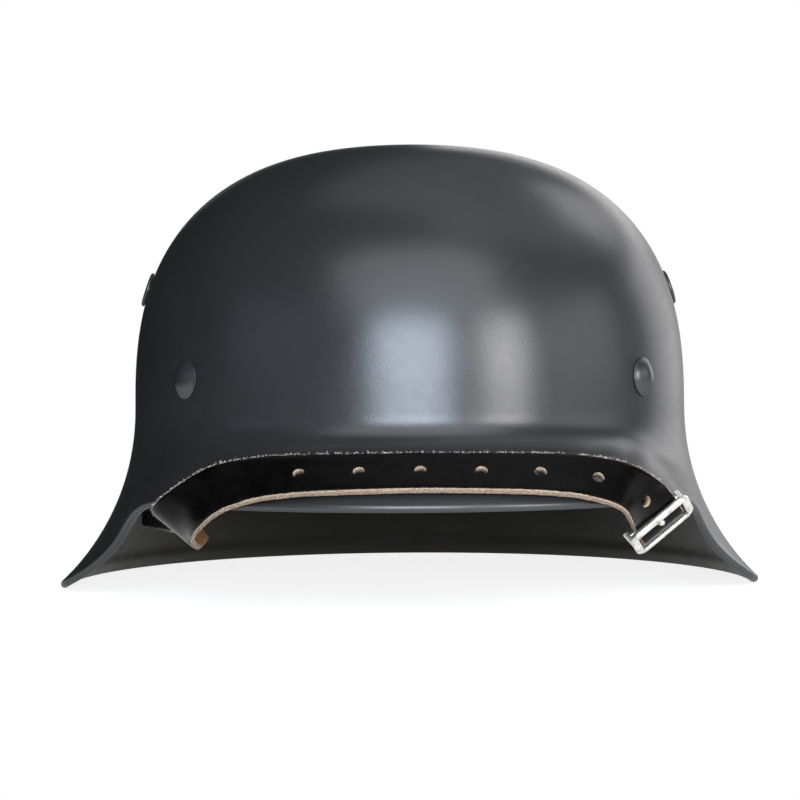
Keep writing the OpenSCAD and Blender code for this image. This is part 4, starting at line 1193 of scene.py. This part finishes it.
def steps(start, end):
    return np.linspace(start, end, max(2, math.ceil(abs(end - start) / strap["ring"]) + 1))


def outerFrame(length):
    p, a, n = route.at(length, longLift(length))
    return p, a, n, strap["w"], strap["t"]


def foldFrame(length, distance):
    # The end folded back under the strap, at a distance from its bail.
    p, a, n = route.at(length, -plyDrop(distance))
    return p, a, -n, strap["w"], strap["t"]


def longFrames():
    out = [foldFrame(l, l) for l in steps(strap["ply"], 0)]
    out += barFrames(leftBar)
    return out + [outerFrame(l) for l in steps(0, rearL + strap["tail"])]


def shortFrame(distance):
    under = -strap["t"] - 2 * strap["gap"]
    down = mix(loopR - axleDrop, under, ease(distance, 0.5, 5))
    lift = mix(down, 0, ease(distance, strap["tail"] + 8, strap["tail"] + 50))
    p, a, n = route.at(axleL + distance, lift)
    width = mix(strap["loopW"], strap["w"], ease(distance, 4, 16))
    thick = mix(strap["pared"], strap["t"], ease(distance, 1, 8))
    return p + a * strap["loopShift"] * (1 - ease(distance, 4, 16)), a, n, width, thick


def shortFrames():
    loopW, shift, pared = strap["loopW"], strap["loopShift"], strap["pared"]
    out = []
    for l in steps(strap["ply"] - 5, 0):
        p, a, n, width, thick = shortFrame(l)
        drop = mix(2 * loopR, (thick + pared) / 2 + strap["gap"], ease(l, 0, 5))
        out.append((p - drop * n + shift * ease(l, 4, 16) * a, a, -n, loopW, pared))
    axle = axlePoint + buckleAcross * shift
    out += loopFrames(axle, buckleAcross, buckleN, -buckleAhead, loopR, loopW, pared, 12)
    out += [shortFrame(l) for l in steps(0, route.total - axleL)]
    out += barFrames(rightBar)
    return out + [foldFrame(l, route.total - l) for l in steps(route.total, route.total - strap["ply"])]


# Runs round the strap's section, as shares of half width and half thickness: start, end, points
# and finish, 0 for grain, 1 for a cut edge and 2 for flesh.
sectionRuns = (
    ((-0.965, 1.0), (0.965, 1.0), 14, 0),
    ((1.0, 0.66), (1.0, -0.8), 4, 1),
    ((0.985, -1.0), (-0.985, -1.0), 14, 2),
    ((-1.0, -0.8), (-1.0, 0.66), 4, 1),
)


def makeStrapPiece(name, frames):
    points, kinds = [], []
    for start, end, count, kind in sectionRuns:
        points += list(np.linspace(start, end, count))
        kinds += [kind] * count
    sides = len(points)
    lengths = lengthsAlong([f[0] for f in frames])

    def place(i, k):
        # cut edges fray, corners are a little lower and the faces swell slowly
        p, a, n, w, t = frames[i]
        across, rise = points[k]
        at = Vector((lengths[i] * 0.55, across * 3, rise * 1.5))
        edge = abs(across) > 0.95
        fray = strap["rough"] * (noise.noise(at * 1.7) + 0.5 * noise.noise(at * 5)) if edge else 0
        soft = 0.1 if edge and kinds[k] != 1 else 0
        swell = strap["swell"] * noise.noise(Vector((lengths[i] * 0.12, across * 2, 7)))
        side = across * w / 2 + fray * np.sign(across)
        return p + a * side + n * (rise * (t / 2 - soft) + swell) + crownShift

    def faceIndex(places):
        if len(places) > 4:
            return 1
        ks = sorted({k for i, k in places})
        k = ks[-1] if ks == [0, sides - 1] else ks[0]
        here, after = kinds[k], kinds[(k + 1) % sides]
        return here if here == after else 1

    def uv(i, k):
        return (lengths[min(i, len(lengths) - 1)] * mm, k / sides)

    return newPiece(name, loft(len(frames), sides, place, faceIndex=faceIndex, uv=uv), [grain, cut, flesh], 55)


def frameMatrix(p, a, n):
    # Metres; X across the strap, Y along it and Z out of it.
    return moved(*(p + crownShift)) @ Matrix(np.stack([a, np.cross(n, a), n], 1)).to_4x4()


def makeStraps():
    s = strap
    leather = [grain, cut, flesh]
    long = makeStrapPiece("strapLong", longFrames())
    cutters = []
    for i in range(s["holes"] + 1):
        l = holeL - (s["lead"] + (i - 1) * s["pitch"] if i else 0)
        place = frameMatrix(*route.at(l, longLift(l)))
        cutters.append(rodCutter(f"punch{i}", s["holeD"] / 2, 3 * s["t"], place, leather, 28, 1))
    carve(long, cutters)
    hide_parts("chinstrap_long")
    short = makeStrapPiece("strapShort", shortFrames())
    back = s["slotBack"]
    place = frameMatrix(axlePoint, buckleAcross, buckleN) @ moved(0, back / 2 - loopR, 0)
    bm = bmesh.new()
    addBlock(bm, (buckle["prongW"] + s["slotPlay"], 2 * loopR + back, 6 * loopR), place)
    carve(short, [newCutter("slotCut", bm, leather, 1)])
    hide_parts("chinstrap_short")
    for piece, bar, body in ((long, leftBar, "bail_left"), (short, rightBar, "bail_right")):
        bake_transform(piece)
    print("chinstrap", len(long.data.polygons), len(short.data.polygons))


# upper is the share of fibres along the side that is the upper edge over the visor.
fibres = {"count": 1050, "from": 118, "spare": 18, "upper": 0.72, "radii": [0.06, 0.05, 0.015]}


def makeFibres():
    # Loose whitish fibres along the strap's cut edges, where the camera sees them.
    draw = random.Random(7)
    bm = bmesh.new()
    for i in range(fibres["count"]):
        l = draw.uniform(fibres["from"], rearL - fibres["spare"])
        side = -1 if draw.random() < fibres["upper"] else 1
        p, a, n = route.at(l, longLift(l))
        high = draw.uniform(-0.2, 1.0) * strap["t"] / 2
        base = p + a * side * (strap["w"] / 2 - 0.05) + n * high + crownShift
        ahead = np.cross(n, a)
        go = a * side * draw.uniform(0.3, 1) + n * draw.uniform(-0.2, 1.1) + ahead * draw.uniform(-1.4, 1.4)
        curl = ahead * draw.uniform(-0.5, 0.5) + n * draw.uniform(-0.3, 0.4)
        size = draw.uniform(0.25, 0.95) * (1 if side < 0 else 0.6)
        path = [base + unit(go) * size * t + curl * size * t * t for t in (0, 0.5, 1)]
        merge(bm, cordTube(path, fibres["radii"], 3))
    piece = newPiece("strapFibres", bm, [fibre], 180)
    dress(piece, "helmet", "strap_leather")
    print("fibres", len(piece.data.polygons))


# Buckle

frameZ = axleDrop + strap["t"] / 2 + strap["gap"]
frontY = buckle["l"] / 2 + buckle["axleAt"]


def superRound(t, power):
    # Point on a unit circle squared up: 2 stays round and more has fuller corners.
    c, s = math.cos(t), math.sin(t)
    return math.copysign(abs(c) ** (2 / power), c), math.copysign(abs(s) ** (2 / power), s)


def makeRing(setIn):
    # The frame: a round front bar, flat sides, a thin rear bar, and the axle low between two posts.
    b = buckle
    line = roundedLoop(b["w"], b["l"], b["corner"], 10, 16)
    n, sides, half = len(line), 20, b["l"] / 2

    def place(i, k):
        p = line[i]
        ahead = unit(line[(i + 1) % n] - line[i - 1])
        front = ease(p[1], half - 2.6, half - 0.7)
        rear = ease(-p[1], half - 2.2, half - 0.5)
        wide = mix(mix(b["side"], b["bar"], front), b["rear"], rear) / 2
        high = mix(b["t"], b["bar"], front) / 2
        x, z = superRound(2 * math.pi * k / sides, mix(b["square"], b["round"], front))
        across, along = p[0] + ahead[1] * x * wide, p[1] + b["axleAt"] - ahead[0] * x * wide
        return (setIn @ (Vector((across, along, frameZ + high + z * high)) * mm)) / mm

    bm = loft(n, sides, place, closed=True)
    down = b["axle"] * 0.7
    for side in (-1, 1):
        post = moved(side * b["w"] / 2, 0, (frameZ - down) / 2)
        addRod(bm, b["postR"], frameZ + down + 0.5, setIn @ post)
    addRod(bm, b["axle"] / 2, b["w"], setIn @ turn(90, "Y"))
    piece = newPiece("buckleRing", bm, [brass], 40)
    dress(piece, "buckle_frame", "buckle", "buckle_frame")


def makeProng(setIn):
    # The prong: an eye round the axle, a bent shank and a ball that rests on the front bar.
    b = buckle

    def placed(p):
        return np.array((setIn @ Vector(np.asarray(p) * mm)) / mm)

    eyeR = b["axle"] / 2 + b["play"] + b["wall"]
    reach = (b["bar"] + b["ball"]) / 2 + b["play"]
    ball = np.array([0, frontY - reach * cosd(b["rise"]), frameZ + b["bar"] / 2 + reach * sind(b["rise"])])
    holeY = b["axleAt"] - b["holeAt"]
    low, top = b["prongT"] / 2 - eyeR, axleDrop + strap["t"] / 2
    bends = ((0, low), (holeY - 2, low + 0.2), (holeY - 0.6, low + 1.8), (holeY + 0.4, top + 0.4))
    shank = [np.array([0.0, y, z]) for y, z in bends] + [ball]
    path = [placed(p) for p in smoothPath(shank, 8)]
    bm = cordTube(path, list(np.linspace(b["shankR"], b["tipR"], len(path))), 14)
    bmesh.ops.create_uvsphere(
        bm, u_segments=24, v_segments=16, radius=b["ball"] / 2 * mm, matrix=setIn @ moved(*ball))
    turns, sides = 28, 12
    r = eyeR - b["wall"] / 2
    angles = np.arange(turns) * 360 / turns
    eye = [placed((0, r * cosd(t), r * sind(t))) for t in angles]
    centre = np.array(setIn.translation) / mm
    axis = np.array(setIn.to_3x3() @ Vector((1, 0, 0)))

    def place(i, k):
        x, y = superRound(2 * math.pi * k / sides, 10 / 3)
        return eye[i] + axis * x * b["prongW"] / 2 + unit(eye[i] - centre) * y * b["wall"] / 2

    merge(bm, loft(turns, sides, place, closed=True))
    piece = newPiece("bucklePin", bm, [brass], 50)
    dress(piece, "buckle_prong", "buckle", "buckle_prong")


def makeBuckle():
    # Laid out about the axle, with Y towards the front bar and Z out of the strap.
    setIn = frameMatrix(axlePoint, buckleAcross, buckleN) @ turn(180, "Z")
    makeRing(setIn)
    makeProng(setIn)
    print("buckle")


# All together

setCamera()
setLights()
makeStage()
makeShell()
makeVents()
makePins()
makeBands()
makeLiner()
makeString()
makeBails()
makeStraps()
makeFibres()
makeBuckle()
